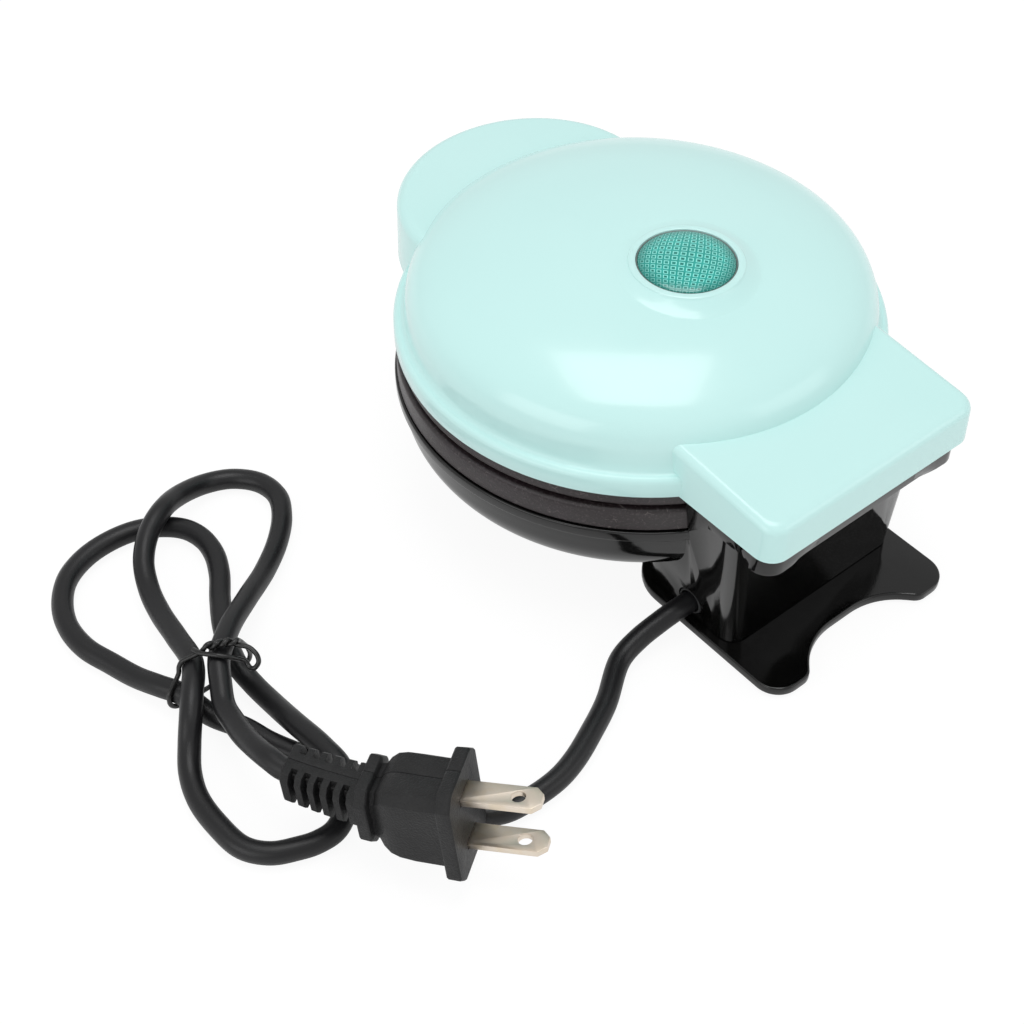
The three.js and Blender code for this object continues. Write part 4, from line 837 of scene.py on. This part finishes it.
lid = dome_piece("lid")
add(lid, raised("handle", handle_outline, LID_EDGE, lambda x, y: HANDLE_TOP, 2.8, 0.3))
add(lid, raised("tab", tab_outline, LID_EDGE, tab_top(), 2.2, 0.2))
add(lid, window_lip())
cut(lid, dome_piece("dome_inside", WALL, 120))
cut(lid, raised("handle_inside", handle_room, LID_EDGE - 5, lambda x, y: HANDLE_TOP - WALL, 1.5))
cut(lid, raised("tab_inside", tab_room, LID_EDGE - 5, tab_top(WALL), 1.0))
cut(lid, rod("window_hole", WINDOW_HOLE, *WINDOW, 60, 80, 96))
soften(lid, 0)
finished(lid, "lid", aqua, "aqua_gloss", "lid_shell")

# %% [markdown]
# ## The indicator window
# A thin grey ring holds a domed green lens over a small lamp. The lens is skinned over many fine rings,
# and in each cell of its grid a square frame stands a little proud.

# %% Lens and ring
LENS_RADIUS = 11.6
LENS_WALL = LID_EDGE + 28.2
LENS_DOME = 1.55
LENS_FLOOR = 69.9
FRAME_HEIGHT = 0.03


def cell_height(x, y):
    """How far the cast frames stand out at a point, from 0 to 1."""
    c, s = math.cos(GRID_TURN), math.sin(GRID_TURN)
    swell = 1 + GRID_SWELL * (x * x + y * y) / GRID_PITCH ** 2
    u, v = (x * c + y * s) * swell / GRID_PITCH, (-x * s + y * c) * swell / GRID_PITCH
    edge = 2 * max(abs(u - math.floor(u) - 0.5), abs(v - math.floor(v) - 0.5))
    return max(0.0, 1 - abs(edge - 0.62) / 0.2)


def lens_rings(steps=150, sides=256):
    """Rings from the middle of the dome to its wall, and one at the foot."""
    rings = []
    for i in range(1, steps + 1):
        r = LENS_RADIUS * i / steps
        dome = LENS_WALL + LENS_DOME * math.sqrt(1 - (i / steps) ** 2) ** 1.1
        relief = FRAME_HEIGHT if r < LENS_RADIUS * 0.93 else 0.0
        rings.append([(WINDOW[0] + x, WINDOW[1] + y, dome + relief * cell_height(x, y))
                      for x, y in circle(r, sides)])
    return rings + lifted(circle(LENS_RADIUS, sides, *WINDOW), LENS_FLOOR)


lens = shade(skin("window_lens", lens_rings()), 60)
finished(lens, "lid", lens_green, "green_lens", "lens")
ring_profile = rounded([(9.8, 68.4, 0.2), (14, 68.4, 0.2), (14, 69.6, 0.2), (11.93, 69.6, 0.1),
                        (11.93, 74.0, 0.1), (11.65, 74.0, 0.1), (11.65, 69.6, 0.05), (9.8, 69.6, 0.2)], 4)
ring = shade(turned("window_ring", ring_profile, WINDOW, 96))
finished(ring, "lid", ring_grey, "black_satin", "lens_ring")

# %% [markdown]
# ## The base
# The bowl is turned, and the block behind it is drawn up with a slight taper and rounded corners. A
# round cut clears the plates, and a groove clears the hinge barrel. The front column stands on its own
# foot, and everything is open from below, as the moulding is.

# %% Base housing
BASE_RADIUS = 61.4
BASE_RIM = 34.4
BASE_BOTTOM = 3.6
BOWL_BOTTOM = 13.8
BOWL_SHARES = [
    (0.984, 0.84), (0.978, 0.7), (0.967, 0.52), (0.943, 0.36), (0.903, 0.21), (0.84, 0.09),
    (0.75, 0.02), (0.64, 0),
]
BLOCK_TOP = 45.4
HINGE = (72.0, 42.0)
PLATE_POSTS = [(39.84, 23.0), (-39.84, 23.0), (0, -46)]
PLATE_SCREWS = [(39.837, 23.0), (-39.837, 23.0), (0, -46)]
FOOT_SCREWS = [(-22.0, 61.0), (22.0, 61.0), (-8.0, -21.5), (8.0, -21.5)]
EAR_AT = 20
PIN_BORE = 1.8


def bowl_profile(inset=0.0):
    points = [(r * BASE_RADIUS, 0, BOWL_BOTTOM + h * (BASE_RIM - BOWL_BOTTOM)) for r, h in BOWL_SHARES]
    line = [(p[0] - inset, p[2] + inset) for p in reversed(smooth_line(points, 6))]
    if inset:
        rim = [(BASE_RADIUS - 1.5 * inset, BASE_RIM + 5)]
        return [(0, BOWL_BOTTOM + inset), *line, *rim, (0, BASE_RIM + 5)]
    band = rounded([(60.0, 31.4, 0), (61.4, 31.4, 0.5), (61.4, 34.4, 0.5), (60.0, 34.4, 0)], 5)
    return [(0, BOWL_BOTTOM), *line, *band[1:-1], (0, BASE_RIM)]


def block_rings(inset, bottom, top):
    rings = []
    for z in (bottom, top):
        share = (z - BASE_BOTTOM) / (BLOCK_TOP - BASE_BOTTOM)
        half, rear = 28.3 + 4.3 * share - inset, 67.2 + 0.8 * share - inset
        corner = 4.5 - inset / 2
        rings += lifted(round_box(half, 36.0 + inset, rear, corner, corner, 10), z)
    return rings


def column_rings(inset, bottom, top):
    corner = 4.0 - inset / 2
    return lifted(round_box(14 - inset, -30.5 + inset, -12.5 - inset, corner, corner, 8), bottom, top)


def post(name, radius, bottom, top, centre):
    """A hollow post round a screw."""
    return turned(name, [(1.4, bottom), (radius, bottom), (radius, top), (1.4, top)], centre, 32)


base = turned("base", bowl_profile(), sides=200)
add(base, skin("block", block_rings(0, BASE_BOTTOM, BLOCK_TOP)))
add(base, skin("column", column_rings(0, BASE_BOTTOM, BOWL_BOTTOM + 1)))
horn = []
for half, z in ((32.2, 41.2), (32.6, BLOCK_TOP)):
    horn += lifted(round_box(half, 59, 71, 0, 2.2, 8), z)
add(base, skin("horn", horn))
cut(base, turned("bowl_inside", bowl_profile(WALL), sides=120))
cut(base, skin("block_inside", block_rings(WALL, -2, BLOCK_TOP - WALL)))
cut(base, skin("column_inside", column_rings(WALL, -2, BOWL_BOTTOM + 4)))
cut(base, cross_rod("barrel_room", 3.6, -70, 70, *HINGE, 64))
cut(base, rod("plate_room", 61.1, 0, 0, BASE_RIM, 60, 200))
ear = rounded([(65.5, 39.1, 0), (73.4, 39.1, 1.4), (74.9, 42.0, 2.4), (73.4, 44.9, 1.4), (65.5, 44.9, 0)])
for side in (-1, 1):
    ends = (side * EAR_AT - 2.5, side * EAR_AT + 2.5)
    add(base, skin("ear", [[(x, y, z) for y, z in ear] for x in ends]))
cut(base, cross_rod("pin_room", PIN_BORE, -70, 70, *HINGE, 32))
cut(base, cross_rod("cord_hole", 3.9, 10, 60, CORD_EXIT[1], EXIT_HEIGHT, 48))
for centre in PLATE_POSTS:
    cut(base, rod("screw_well", 2.8, *centre, 5, 17.8, 32))
    add(base, post("screw_post", 4.0, 15.0, 24.0, centre))
for centre in FOOT_SCREWS:
    add(base, post("foot_post", 3.0, BASE_BOTTOM, 15.5, centre))
soften(base, 0.3, 2, 40)
finished(base, "base", black_gloss, "black_gloss", "lower_housing")

# %% [markdown]
# ## Foot plates and pads
# Each foot plate is a flat moulding with a rounded outline, and the rear one has a scooped notch that
# lets the cord through. The rounded edge catches the light all round, so it is made as real rings.

# %% Feet
FOOT_LOW = 0.8
FOOT_HIGH = 3.3


def slab(name, outline_at, z0, z1, edge=0.5, steps=4):
    """A flat plate with a rounded edge above and below."""
    rings = []
    for sign, level in ((1, z0), (-1, z1)):
        part = []
        for k in range(steps + 1):
            angle = math.pi / 2 * k / steps
            z = level + sign * edge * (1 - math.cos(angle))
            part += lifted(outline_at(edge * (1 - math.sin(angle))), z)
        rings += part if sign > 0 else part[::-1]
    return skin(name, rings)


def rear_outline(inset):
    half, end, front = 30.6 - inset, 84.9 - inset, 30.0 + inset
    notch, wide, deep = 19.5 + inset, 11.5 + inset, 76.6 - inset
    return rounded([(-half, front, 13), (half, front, 13), (half, end, 6.5), (notch, end, 4),
                    (wide, deep, 19), (-wide, deep, 19), (-notch, end, 4), (-half, end, 6.5)], 12)


def front_outline(inset):
    return round_box(24.0 - inset, -40.5 + inset, -7.5 - inset, 10, 10, 12)


PADS = [(-24.6, 78.9), (24.6, 78.9), (-18.0, -34.5), (18.0, -34.5)]
for name, outline, is_rear in (("rear_foot", rear_outline, True), ("front_foot", front_outline, False)):
    foot = slab(name, outline, FOOT_LOW, FOOT_HIGH)
    for centre in (p for p in PADS if (p[1] > 0) == is_rear):
        cut(foot, rod("recess", 4.7, *centre, -1, FOOT_LOW + 1.0, 48))
    for centre in (p for p in FOOT_SCREWS if (p[1] > 0) == is_rear):
        cut(foot, rod("well", 2.8, *centre, -1, FOOT_HIGH - 1.0, 32))
        cut(foot, rod("hole", 1.4, *centre, -1, 8, 24))
    soften(foot, 0)
    finished(foot, "base", black_gloss, "black_gloss", name + "_plate")

pad_profile = rounded([(0, 0, 0), (4.4, 0, 0.5), (4.4, 1.5, 0.2), (0, 1.5, 0)], 5)
for k, centre in enumerate(PADS):
    pad = shade(turned(f"pad_{k + 1}", pad_profile, centre, 48))
    finished(pad, "base", black_rubber, "black_rubber", f"foot_pad_{k + 1}")

# %% [markdown]
# ## The hinge lip
# Under the hinge tab a black lip closes the tab, and its front edge is the barrel that turns on the pin.
# Two slots let the base's ears reach in to the pin.

# %% Hinge lip
COVER_FRONT = 72.0
COVER_REAR = 77.8
COVER_HALF = 32.0
SLOPE_TOP = 40.3
SLOPE_DEPTH = 1.7
SCREW_AT = (28, 75.3)


def lip_outline(inset):
    """The lip's outline, with extra points along its rear edge for the slope there."""
    half, rear = COVER_HALF - inset, COVER_REAR - inset
    corners = round_box(half, COVER_FRONT, rear, 0, 5, 10)
    middle = [((COVER_HALF - 2 * k) * half / COVER_HALF, rear) for k in range(4, 29)]
    return corners[:13] + middle + corners[13:]


def tongue_outline(inset):
    return round_box(31.35 - inset, 65.4, 77.3 - inset, 3, 3, 8)


def lip_ring(z):
    """The lip's outline at a height: its lower edge slopes in between the corners."""
    low = min(1.0, max(0.0, (SLOPE_TOP - z) / 1.6))
    edge = {38.7: 0.15, 45.3: 0.3}.get(z, 0.0)
    ring = []
    for x, y in lip_outline(edge):
        share = min(1.0, max(0.0, (26.0 - abs(x)) / 13.0))
        slope = SLOPE_DEPTH * low * share * share * (3 - 2 * share)
        ring.append((x, y - (slope if y > 76 else 0.0), z))
    return ring


hinge_lip = skin("hinge_lip", [lip_ring(z) for z in (38.7, 38.85, 39.3, 39.8, 40.3, 45.0, 45.3)])
add(hinge_lip, cross_rod("barrel", 3.3, -31.2, 31.2, *HINGE, 64))
add(hinge_lip, box_piece("neck", -31, 31, 73.1, 75.3, 43.6, 46.5))
add(hinge_lip, slab("tongue", tongue_outline, 45.7, 47.7, 0.2))
for side in (-1, 1):
    cut(hinge_lip, box_piece("slot", side * EAR_AT - 2.8, side * EAR_AT + 2.8, 62, 75.6, 33, 45.2))
    cut(hinge_lip, rod("screw_room", 1.25, side * SCREW_AT[0], SCREW_AT[1], 30, 50, 24))
    cut(hinge_lip, rod("head_room", 2.13, side * SCREW_AT[0], SCREW_AT[1], 30, 40.4, 32))
cut(hinge_lip, cross_rod("bore", PIN_BORE, -70, 24.8, *HINGE, 32))
soften(hinge_lip, 0.25, 2, 40)
finished(hinge_lip, "lid", black_gloss, "black_gloss", "hinge_cover")

# %% [markdown]
# ## The cooking plates
# Each plate is a cast dish with a rounded rim and a grid of square pegs, which press the pockets into
# the waffle. The dish is turned. The pegs repeat by a rule, so a Geometry Nodes tree places one peg on
# a grid and drops those that would touch the dish's wall.

# %% Peg grid
PEG_PITCH = 12.2
PEG_REACH = 51.0
PEG_ROWS = 9
PEG_LEVELS = [(-0.6, 4.55, 1.0), (0.0, 4.45, 1.0), (2.2, 3.65, 1.0), (2.6, 3.45, 0.9), (2.78, 3.1, 0.8)]
DISH_DEPTH = 5.1
DISH_BACK = 7.6


def peg_mesh(name, flip):
    """One peg with rounded corners and a rounded top, its foot at the frame's origin."""
    rings = []
    for z, half, corner in PEG_LEVELS:
        outline = round_box(half, -half, half, corner, corner, 3)
        rings.append([(x, y - AXIS_TO_ORIGIN, -z if flip else z) for x, y in outline])
    return shade(skin(name, rings), 40)


def peg_tree(material):
    """A tree that sets pegs on a square grid, drops those beyond the reach and lifts the rest."""
    tree = bpy.data.node_groups.new("peg_grid", "GeometryNodeTree")
    tree.interface.new_socket("Geometry", in_out="OUTPUT", socket_type="NodeSocketGeometry")
    inputs = {}
    for label in ("Pitch", "Reach", "Peg Half", "Level", "Shift", "Peg"):
        kind = "NodeSocketObject" if label == "Peg" else FLOAT
        inputs[label] = tree.interface.new_socket(label, in_out="INPUT", socket_type=kind).identifier
    given = tree.nodes.new("NodeGroupInput").outputs
    side = times(tree, given["Pitch"], PEG_ROWS - 1.0)
    grid = add_node(tree, "GeometryNodeMeshGrid", side, side, PEG_ROWS, PEG_ROWS)
    spot = add_node(tree, "GeometryNodeInputPosition")
    away = add_node(tree, "ShaderNodeVectorMath", spot.outputs[0], operation="ABSOLUTE")
    half = add_node(tree, "ShaderNodeCombineXYZ", given["Peg Half"], given["Peg Half"])
    corner = add_node(tree, "ShaderNodeVectorMath", away.outputs[0], half.outputs[0], operation="ADD")
    length = add_node(tree, "ShaderNodeVectorMath", corner.outputs[0], operation="LENGTH").outputs["Value"]
    outside = add_node(tree, "FunctionNodeCompare", length, given["Reach"], operation="GREATER_THAN")
    drop = add_node(tree, "GeometryNodeDeleteGeometry", grid.outputs["Mesh"], outside.outputs[0])
    peg = add_node(tree, "GeometryNodeObjectInfo", given["Peg"]).outputs["Geometry"]
    many = add_node(tree, "GeometryNodeInstanceOnPoints", Points=drop.outputs[0], Instance=peg)
    offset = add_node(tree, "ShaderNodeCombineXYZ", Y=given["Shift"], Z=given["Level"])
    move = add_node(tree, "GeometryNodeTransform", Geometry=many.outputs[0], Translation=offset.outputs[0])
    real = add_node(tree, "GeometryNodeRealizeInstances", move.outputs[0])
    painted = add_node(tree, "GeometryNodeSetMaterial", Geometry=real.outputs[0], Material=material)
    feed(tree, tree.nodes.new("NodeGroupOutput").inputs[0], painted.outputs[0])
    return tree, inputs


def grown(name, tree, identifiers, values):
    """An object whose mesh is what a Geometry Nodes tree makes."""
    piece = link(name, bpy.data.meshes.new(name))
    modifier = piece.modifiers.new("grow", "NODES")
    modifier.node_group = tree
    for label, value in values.items():
        modifier[identifiers[label]] = value
    return baked(piece)


pegs_tree, peg_inputs = peg_tree(non_stick)
print("the peg grid's inputs:", list(peg_inputs))

# %% Plates
LOWER_FACE = 41.2
UPPER_FACE = 41.9


def plate_profile(face, sign, rim_height, radius):
    """The dish's outline, with its rim on the face height and its back away by sign."""
    floor_z, rim_z, back_z = (face - sign * depth for depth in (DISH_DEPTH, rim_height, DISH_BACK))
    return rounded([(0, back_z, 0), (56.3, back_z, 0.8), (56.3, rim_z, 0.4), (radius, rim_z, 0.6),
                    (radius, face, 1.0), (51.2, face, 0.8), (49.3, floor_z, 1.0), (0, floor_z, 0)])


for name, body, replaced, face, sign, rim, radius in (
        ("bottom_grid", "base", "lower_plate", LOWER_FACE, 1, 6.55, 60.8),
        ("top_grid", "lid", "upper_plate", UPPER_FACE, -1, 3.5, 60.0)):
    plate = shade(turned(name, plate_profile(face, sign, rim, radius), sides=180), 40)
    peg = peg_mesh("peg", sign < 0)
    pegs = grown("pegs", pegs_tree, peg_inputs, {
        "Pitch": PEG_PITCH * MM, "Reach": PEG_REACH * MM, "Peg Half": 4.5 * MM,
        "Level": (face - sign * DISH_DEPTH) * MM, "Shift": AXIS_TO_ORIGIN * MM, "Peg": peg})
    bpy.data.objects.remove(peg)
    finished(joined([plate, shade(pegs, 40)]), body, non_stick, "non_stick", replaced)

# %% [markdown]
# ## Handle cover
# A flat black cover closes the handle from below, with the screws sunk into it.

# %% Handle cover
HANDLE_SCREWS = [(-19, -64), (19, -64)]


def cover_outline(inset):
    return handle_outline(2.3 + inset, 48)


cover = slab("grip_cover", cover_outline, 46.0, 48.0, 0.3)
cut(cover, rod("disc_room", 64.0, 0, 0, 40, 60, 200))
for centre in HANDLE_SCREWS:
    cut(cover, rod("hole", 1.4, *centre, 40, 60, 24))
soften(cover, 0)
finished(cover, "lid", black_satin, "black_satin", "handle_cover")

# %% [markdown]
# ## Screws
# Every screw is the same upright pan head with a cross recess, so one function makes them all. They are
# joined to one mesh for each body.

# %% Screws
SCREWS = {
    "base": [("lower_plate_screw", PLATE_SCREWS, 16.1, 15.5, 1.0),
             ("foot_screw", FOOT_SCREWS, 0.6, 11.0, 1.0)],
    "lid": [("hinge_cover_screw", [(-SCREW_AT[0], SCREW_AT[1]), SCREW_AT], 38.7, 12.0, 0.85),
            ("handle_screw", HANDLE_SCREWS, 44.3, 8.0, 1.0)],
}


def screw_mesh(name, x, y, z, length, slim):
    """A screw whose head starts at z, with its shank above it. Slim makes a narrower one."""
    head = [(0, 0.0), (1.6, 0.03), (2.2, 0.3), (2.48, 0.85), (2.5, 1.4), (1.1, 1.4)]
    profile = [*head, (1.1, 0.3 + length), (0, 1.4 + length)]
    piece = turned(name, [(r * slim, z + h) for r, h in profile], (x, y), 32)
    for w, d in ((1.45, 0.32), (0.32, 1.45)):
        cut(piece, box_piece("cross", x - w, x + w, y - d, y + d, z - 1.0, z + 0.8))
    return shade(piece, 35)


for body, groups in SCREWS.items():
    made = {}
    for label, centres, z, length, slim in groups:
        for k, centre in enumerate(centres):
            name = f"{label}_{k + 1}"
            made[name] = screw_mesh(name, *centre, z, length, slim)
    fasteners = joined(list(made.values()))
    fasteners.name = body + "_fasteners"
    finished(fasteners, body, screw_steel, "screw_steel", *made)

# %% [markdown]
# ## Cord, bushing and tie
# The cord gets its jacket, and where it enters the foot a soft collar keeps it from bending sharply.
# The tie is a coated wire: it goes once round the strands, its two ends are twisted together on top, and
# one of them goes on in a narrow loop that lies over the strands.

# %% Cord set
finished(cord, "base", cord_jacket, "cord_jacket", "power_cord")

profile = rounded([(3.0, -7.0, 0), (3.8, -7.0, 0.3), (3.8, -2.9, 0.3), (3.45, -2.2, 0.3),
                   (3.0, -2.0, 0.1)], 5)
rings = [[(CORD_EXIT[0] + h, CORD_EXIT[1] + r * c, EXIT_HEIGHT + r * s) for r, h in profile]
         for c, s in circle(1, 48)]
bushing = shade(skin("cord_collar", rings + rings[:1], close_ends=False))
finished(bushing, "base", black_rubber, "black_rubber", "cord_bushing")

TIE_RADIUS = 0.6
TIE_POINTS = [
    (101.4, -57.8, 15.6), (101.1, -56.0, 16.2), (100.3, -54.4, 16.5), (99.4, -53.1, 16.7),
    (98.4, -51.9, 16.8), (97.4, -51.0, 16.6), (96.2, -50.2, 16.1), (95.1, -49.7, 15.3),
    (93.9, -49.3, 14.3), (93.1, -48.5, 13.4), (93.1, -47.1, 12.7), (92.5, -46.1, 13.1),
    (91.2, -46.2, 14.0), (90.7, -47.2, 15.0), (90.8, -48.7, 15.7), (91.2, -50.0, 16.0),
    (92.0, -51.1, 16.1), (92.9, -52.1, 16.1), (93.5, -53.4, 16.7), (94.5, -53.5, 17.8),
    (95.9, -53.2, 17.6), (96.6, -54.1, 16.7), (97.3, -55.3, 17.2), (98.7, -55.5, 17.5),
    (99.7, -55.7, 16.5), (100.4, -56.3, 15.3), (101.7, -57.0, 14.5), (103.1, -57.7, 13.9),
    (104.5, -58.3, 13.1), (105.3, -58.5, 11.7), (105.7, -58.3, 10.2), (106.4, -58.1, 9.2),
    (107.8, -57.5, 8.4), (109.9, -56.5, 7.0), (110.3, -56.1, 4.1), (108.9, -56.2, 2.2),
    (106.0, -56.4, 1.35), (103.0, -56.7, 1.2), (98.2, -56.9, 1.2), (93.4, -56.9, 1.2),
    (91.9, -56.8, 1.3), (90.4, -56.7, 1.7), (89.3, -56.5, 2.4), (88.5, -56.3, 3.4),
    (88.2, -56.0, 4.7), (88.2, -55.7, 6.2), (88.5, -55.4, 7.7), (88.9, -55.0, 9.2),
    (89.4, -54.6, 10.6), (90.0, -54.2, 12.1), (90.6, -53.7, 13.5), (91.2, -53.3, 14.9),
    (91.9, -53.0, 16.2), (92.7, -52.5, 17.3), (94.1, -52.4, 17.1), (95.0, -53.5, 16.7),
    (95.7, -54.4, 17.5), (97.1, -54.2, 17.8), (98.1, -54.5, 16.8), (98.4, -55.9, 16.4),
]
tie = wire("wire_tie", smooth_line(from_exit(TIE_POINTS), 5), TIE_RADIUS, 4)
finished(tie, "base", tie_vinyl, "black_satin", "twist_tie")

# %% [markdown]
# ## The plug
# The plug is one soft moulding over the cord's end: a ribbed neck that bends, a collar for the fingers,
# a body with chamfered sides and a broad flange. It is skinned over eight-sided rings along its length,
# and the whole row of rings is bent a little, as the soft moulding is. Slots are cut round the neck, and
# the blades stand in the flange.

# %% Plug
PLUG_AT = (CORD_EXIT[0] + 81.5, CORD_EXIT[1] + 20.2, 18.8)
PLUG_YAW, PLUG_PITCH, PLUG_ROLL = (math.radians(a) for a in (126.9, -8.9, -81.6))
PLUG_BEND = 0.0032
forward = Vector((math.cos(PLUG_PITCH) * math.cos(PLUG_YAW), math.cos(PLUG_PITCH) * math.sin(PLUG_YAW),
                  -math.sin(PLUG_PITCH)))
level = Vector((math.sin(PLUG_YAW), -math.cos(PLUG_YAW), 0))
above = level.cross(forward)
across = level * math.cos(PLUG_ROLL) + above * math.sin(PLUG_ROLL)
upward = forward.cross(across)


def on_plug(u, v, w):
    """A point in the plug's own frame. The further back from its front face, the more it bends aside."""
    bend = PLUG_BEND * min(0.0, w) ** 2
    return tuple(Vector(PLUG_AT) + across * (u - 0.905 * bend) + upward * (v + 0.425 * bend) + forward * w)


def plug_tool(name, outline, *lengths):
    """An outline drawn along the plug."""
    return skin(name, [[on_plug(u, v, w) for u, v in outline] for w in lengths])


def plug_ring(w, width, height, chamfer, corner):
    a, b = width / 2, height / 2
    p, q = a - chamfer, b - chamfer
    corners = [(-a, -q), (-p, -b), (p, -b), (a, -q), (a, q), (p, b), (-p, b), (-a, q)]
    return [on_plug(u, v, w) for u, v in rounded([(*point, corner) for point in corners], 3)]


# Each section: place along, width, height, chamfer and corner radius.
PLUG_SECTIONS = [
    (-41.0, 7.6, 11.0, 1.2, 0.5), (-40.7, 8.2, 11.6, 1.3, 0.5), (-37.0, 8.3, 11.8, 1.3, 0.5),
    (-33.0, 8.4, 12.1, 1.3, 0.5), (-29.0, 8.5, 12.3, 1.3, 0.5), (-23.7, 8.6, 12.6, 1.3, 0.5),
    (-23.3, 9.4, 13.2, 1.6, 0.5), (-23.15, 14.6, 15.8, 2.7, 0.6), (-22.8, 15.3, 16.3, 2.9, 0.6),
    (-20.6, 15.3, 16.3, 2.9, 0.6), (-20.3, 14.6, 15.7, 2.7, 0.6), (-20.1, 12.8, 12.6, 1.9, 0.6),
    (-19.0, 13.5, 13.0, 1.9, 0.7), (-18.0, 16.0, 14.5, 1.9, 0.7), (-16.5, 18.2, 15.6, 1.9, 0.7),
    (-14.5, 19.2, 16.1, 1.9, 0.7), (-11.0, 19.5, 16.3, 1.9, 0.7), (-4.3, 19.5, 16.3, 1.9, 0.7),
    (-3.9, 20.0, 16.6, 2.0, 0.7), (-3.8, 24.6, 19.4, 2.7, 0.6), (-3.4, 25.2, 19.8, 2.8, 0.6),
    (-0.9, 25.4, 19.9, 2.8, 0.6), (-0.5, 24.8, 19.4, 2.7, 0.6),
]
BLADE_AT = 6.35
RIB_GAPS = (-39.0, -36.0, -33.1, -30.1, -27.1)
RIB_GAP_WIDTH = 1.5
RIB_GAP = [(-9, 2.3), (-2.6, 2.3), (-2.6, 2.9), (2.6, 2.9), (2.6, 2.3), (9, 2.3), (9, 9), (-9, 9)]
SEAM_HALF = 0.12

plug_body = skin("plug_moulding", [plug_ring(*section) for section in PLUG_SECTIONS])
for start in RIB_GAPS:
    for sign in (-1, 1):
        gap = [(sign * u, sign * v) for u, v in RIB_GAP]
        cut(plug_body, plug_tool("rib_gap", gap, start, start + RIB_GAP_WIDTH))
for sign in (-1, 1):
    seam = []
    for w, width, *rest in PLUG_SECTIONS:
        deep, clear = width / 2 - SEAM_HALF, width / 2 + 1
        seam.append([on_plug(sign * u, v, w) for u, v in ((deep, -SEAM_HALF), (clear, -SEAM_HALF),
                                                          (clear, SEAM_HALF), (deep, SEAM_HALF))])
    cut(plug_body, skin("seam", seam))
for u in (-BLADE_AT, BLADE_AT):
    pocket = [(u - 1.0, -3.5), (u + 1.0, -3.5), (u + 1.0, 3.5), (u - 1.0, 3.5)]
    cut(plug_body, plug_tool("pocket", pocket, -3.0, 5))
cut(plug_body, plug_tool("bore", circle(2.9, 32), -44, -38.9))
soften(plug_body, 0.22, 2, 30)
finished(plug_body, "base", plug_vinyl, "cord_jacket", "plug_body")

# %% Blades
BLADE_HALF = 3.175
BLADE_HALF_THICKNESS = 0.75
BLADE_CORNERS = [(-BLADE_HALF, -2.7, 0), (BLADE_HALF, -2.7, 0), (BLADE_HALF, 14.7, 0.4), (1.4, 16.5, 0.4),
                 (-1.4, 16.5, 0.4), (-BLADE_HALF, 14.7, 0.4)]


def blade_tool(name, outline, u, half):
    """An outline of the blade's flat side, drawn out to both sides of u."""
    return skin(name, [[on_plug(a, v, w) for v, w in outline] for a in (u - half, u + half)])


for k, u in enumerate((-BLADE_AT, BLADE_AT)):
    blade = blade_tool(f"blade_{k + 1}", rounded(BLADE_CORNERS, 3), u, BLADE_HALF_THICKNESS)
    cut(blade, blade_tool("hole", circle(1.6, 40, 0.0, 11.3), u, 3))
    soften(blade, 0.18, 2, 30)
    finished(blade, "base", nickel, "nickel_blade", f"plug_blade_{k + 1}")

# %% [markdown]
# ## Hidden pieces
# The heaters, reflectors, screws and wiring inside keep the model's own meshes, with a finish for each.

# %% Inner pieces
INNER = {
    "lower_element": element_steel, "upper_element": element_steel, "lower_reflector": reflector_steel,
    "upper_reflector": reflector_steel, "lamp_holder": white_plastic, "indicator_lamp": lamp_glass,
    "hinge_pin": screw_steel, "terminal_block": white_plastic, "thermostat": reflector_steel,
    "thermal_fuse": white_plastic, "live_lead": sleeve, "neutral_lead": sleeve,
}
inner = 0
for name, node in nodes.items():
    material = INNER.get(name, screw_steel if "screw" in name else None)
    if material is not None:
        node.data.materials.clear()
        node.data.materials.append(material)
        inner += 1
print("inner pieces with a finish:", inner)
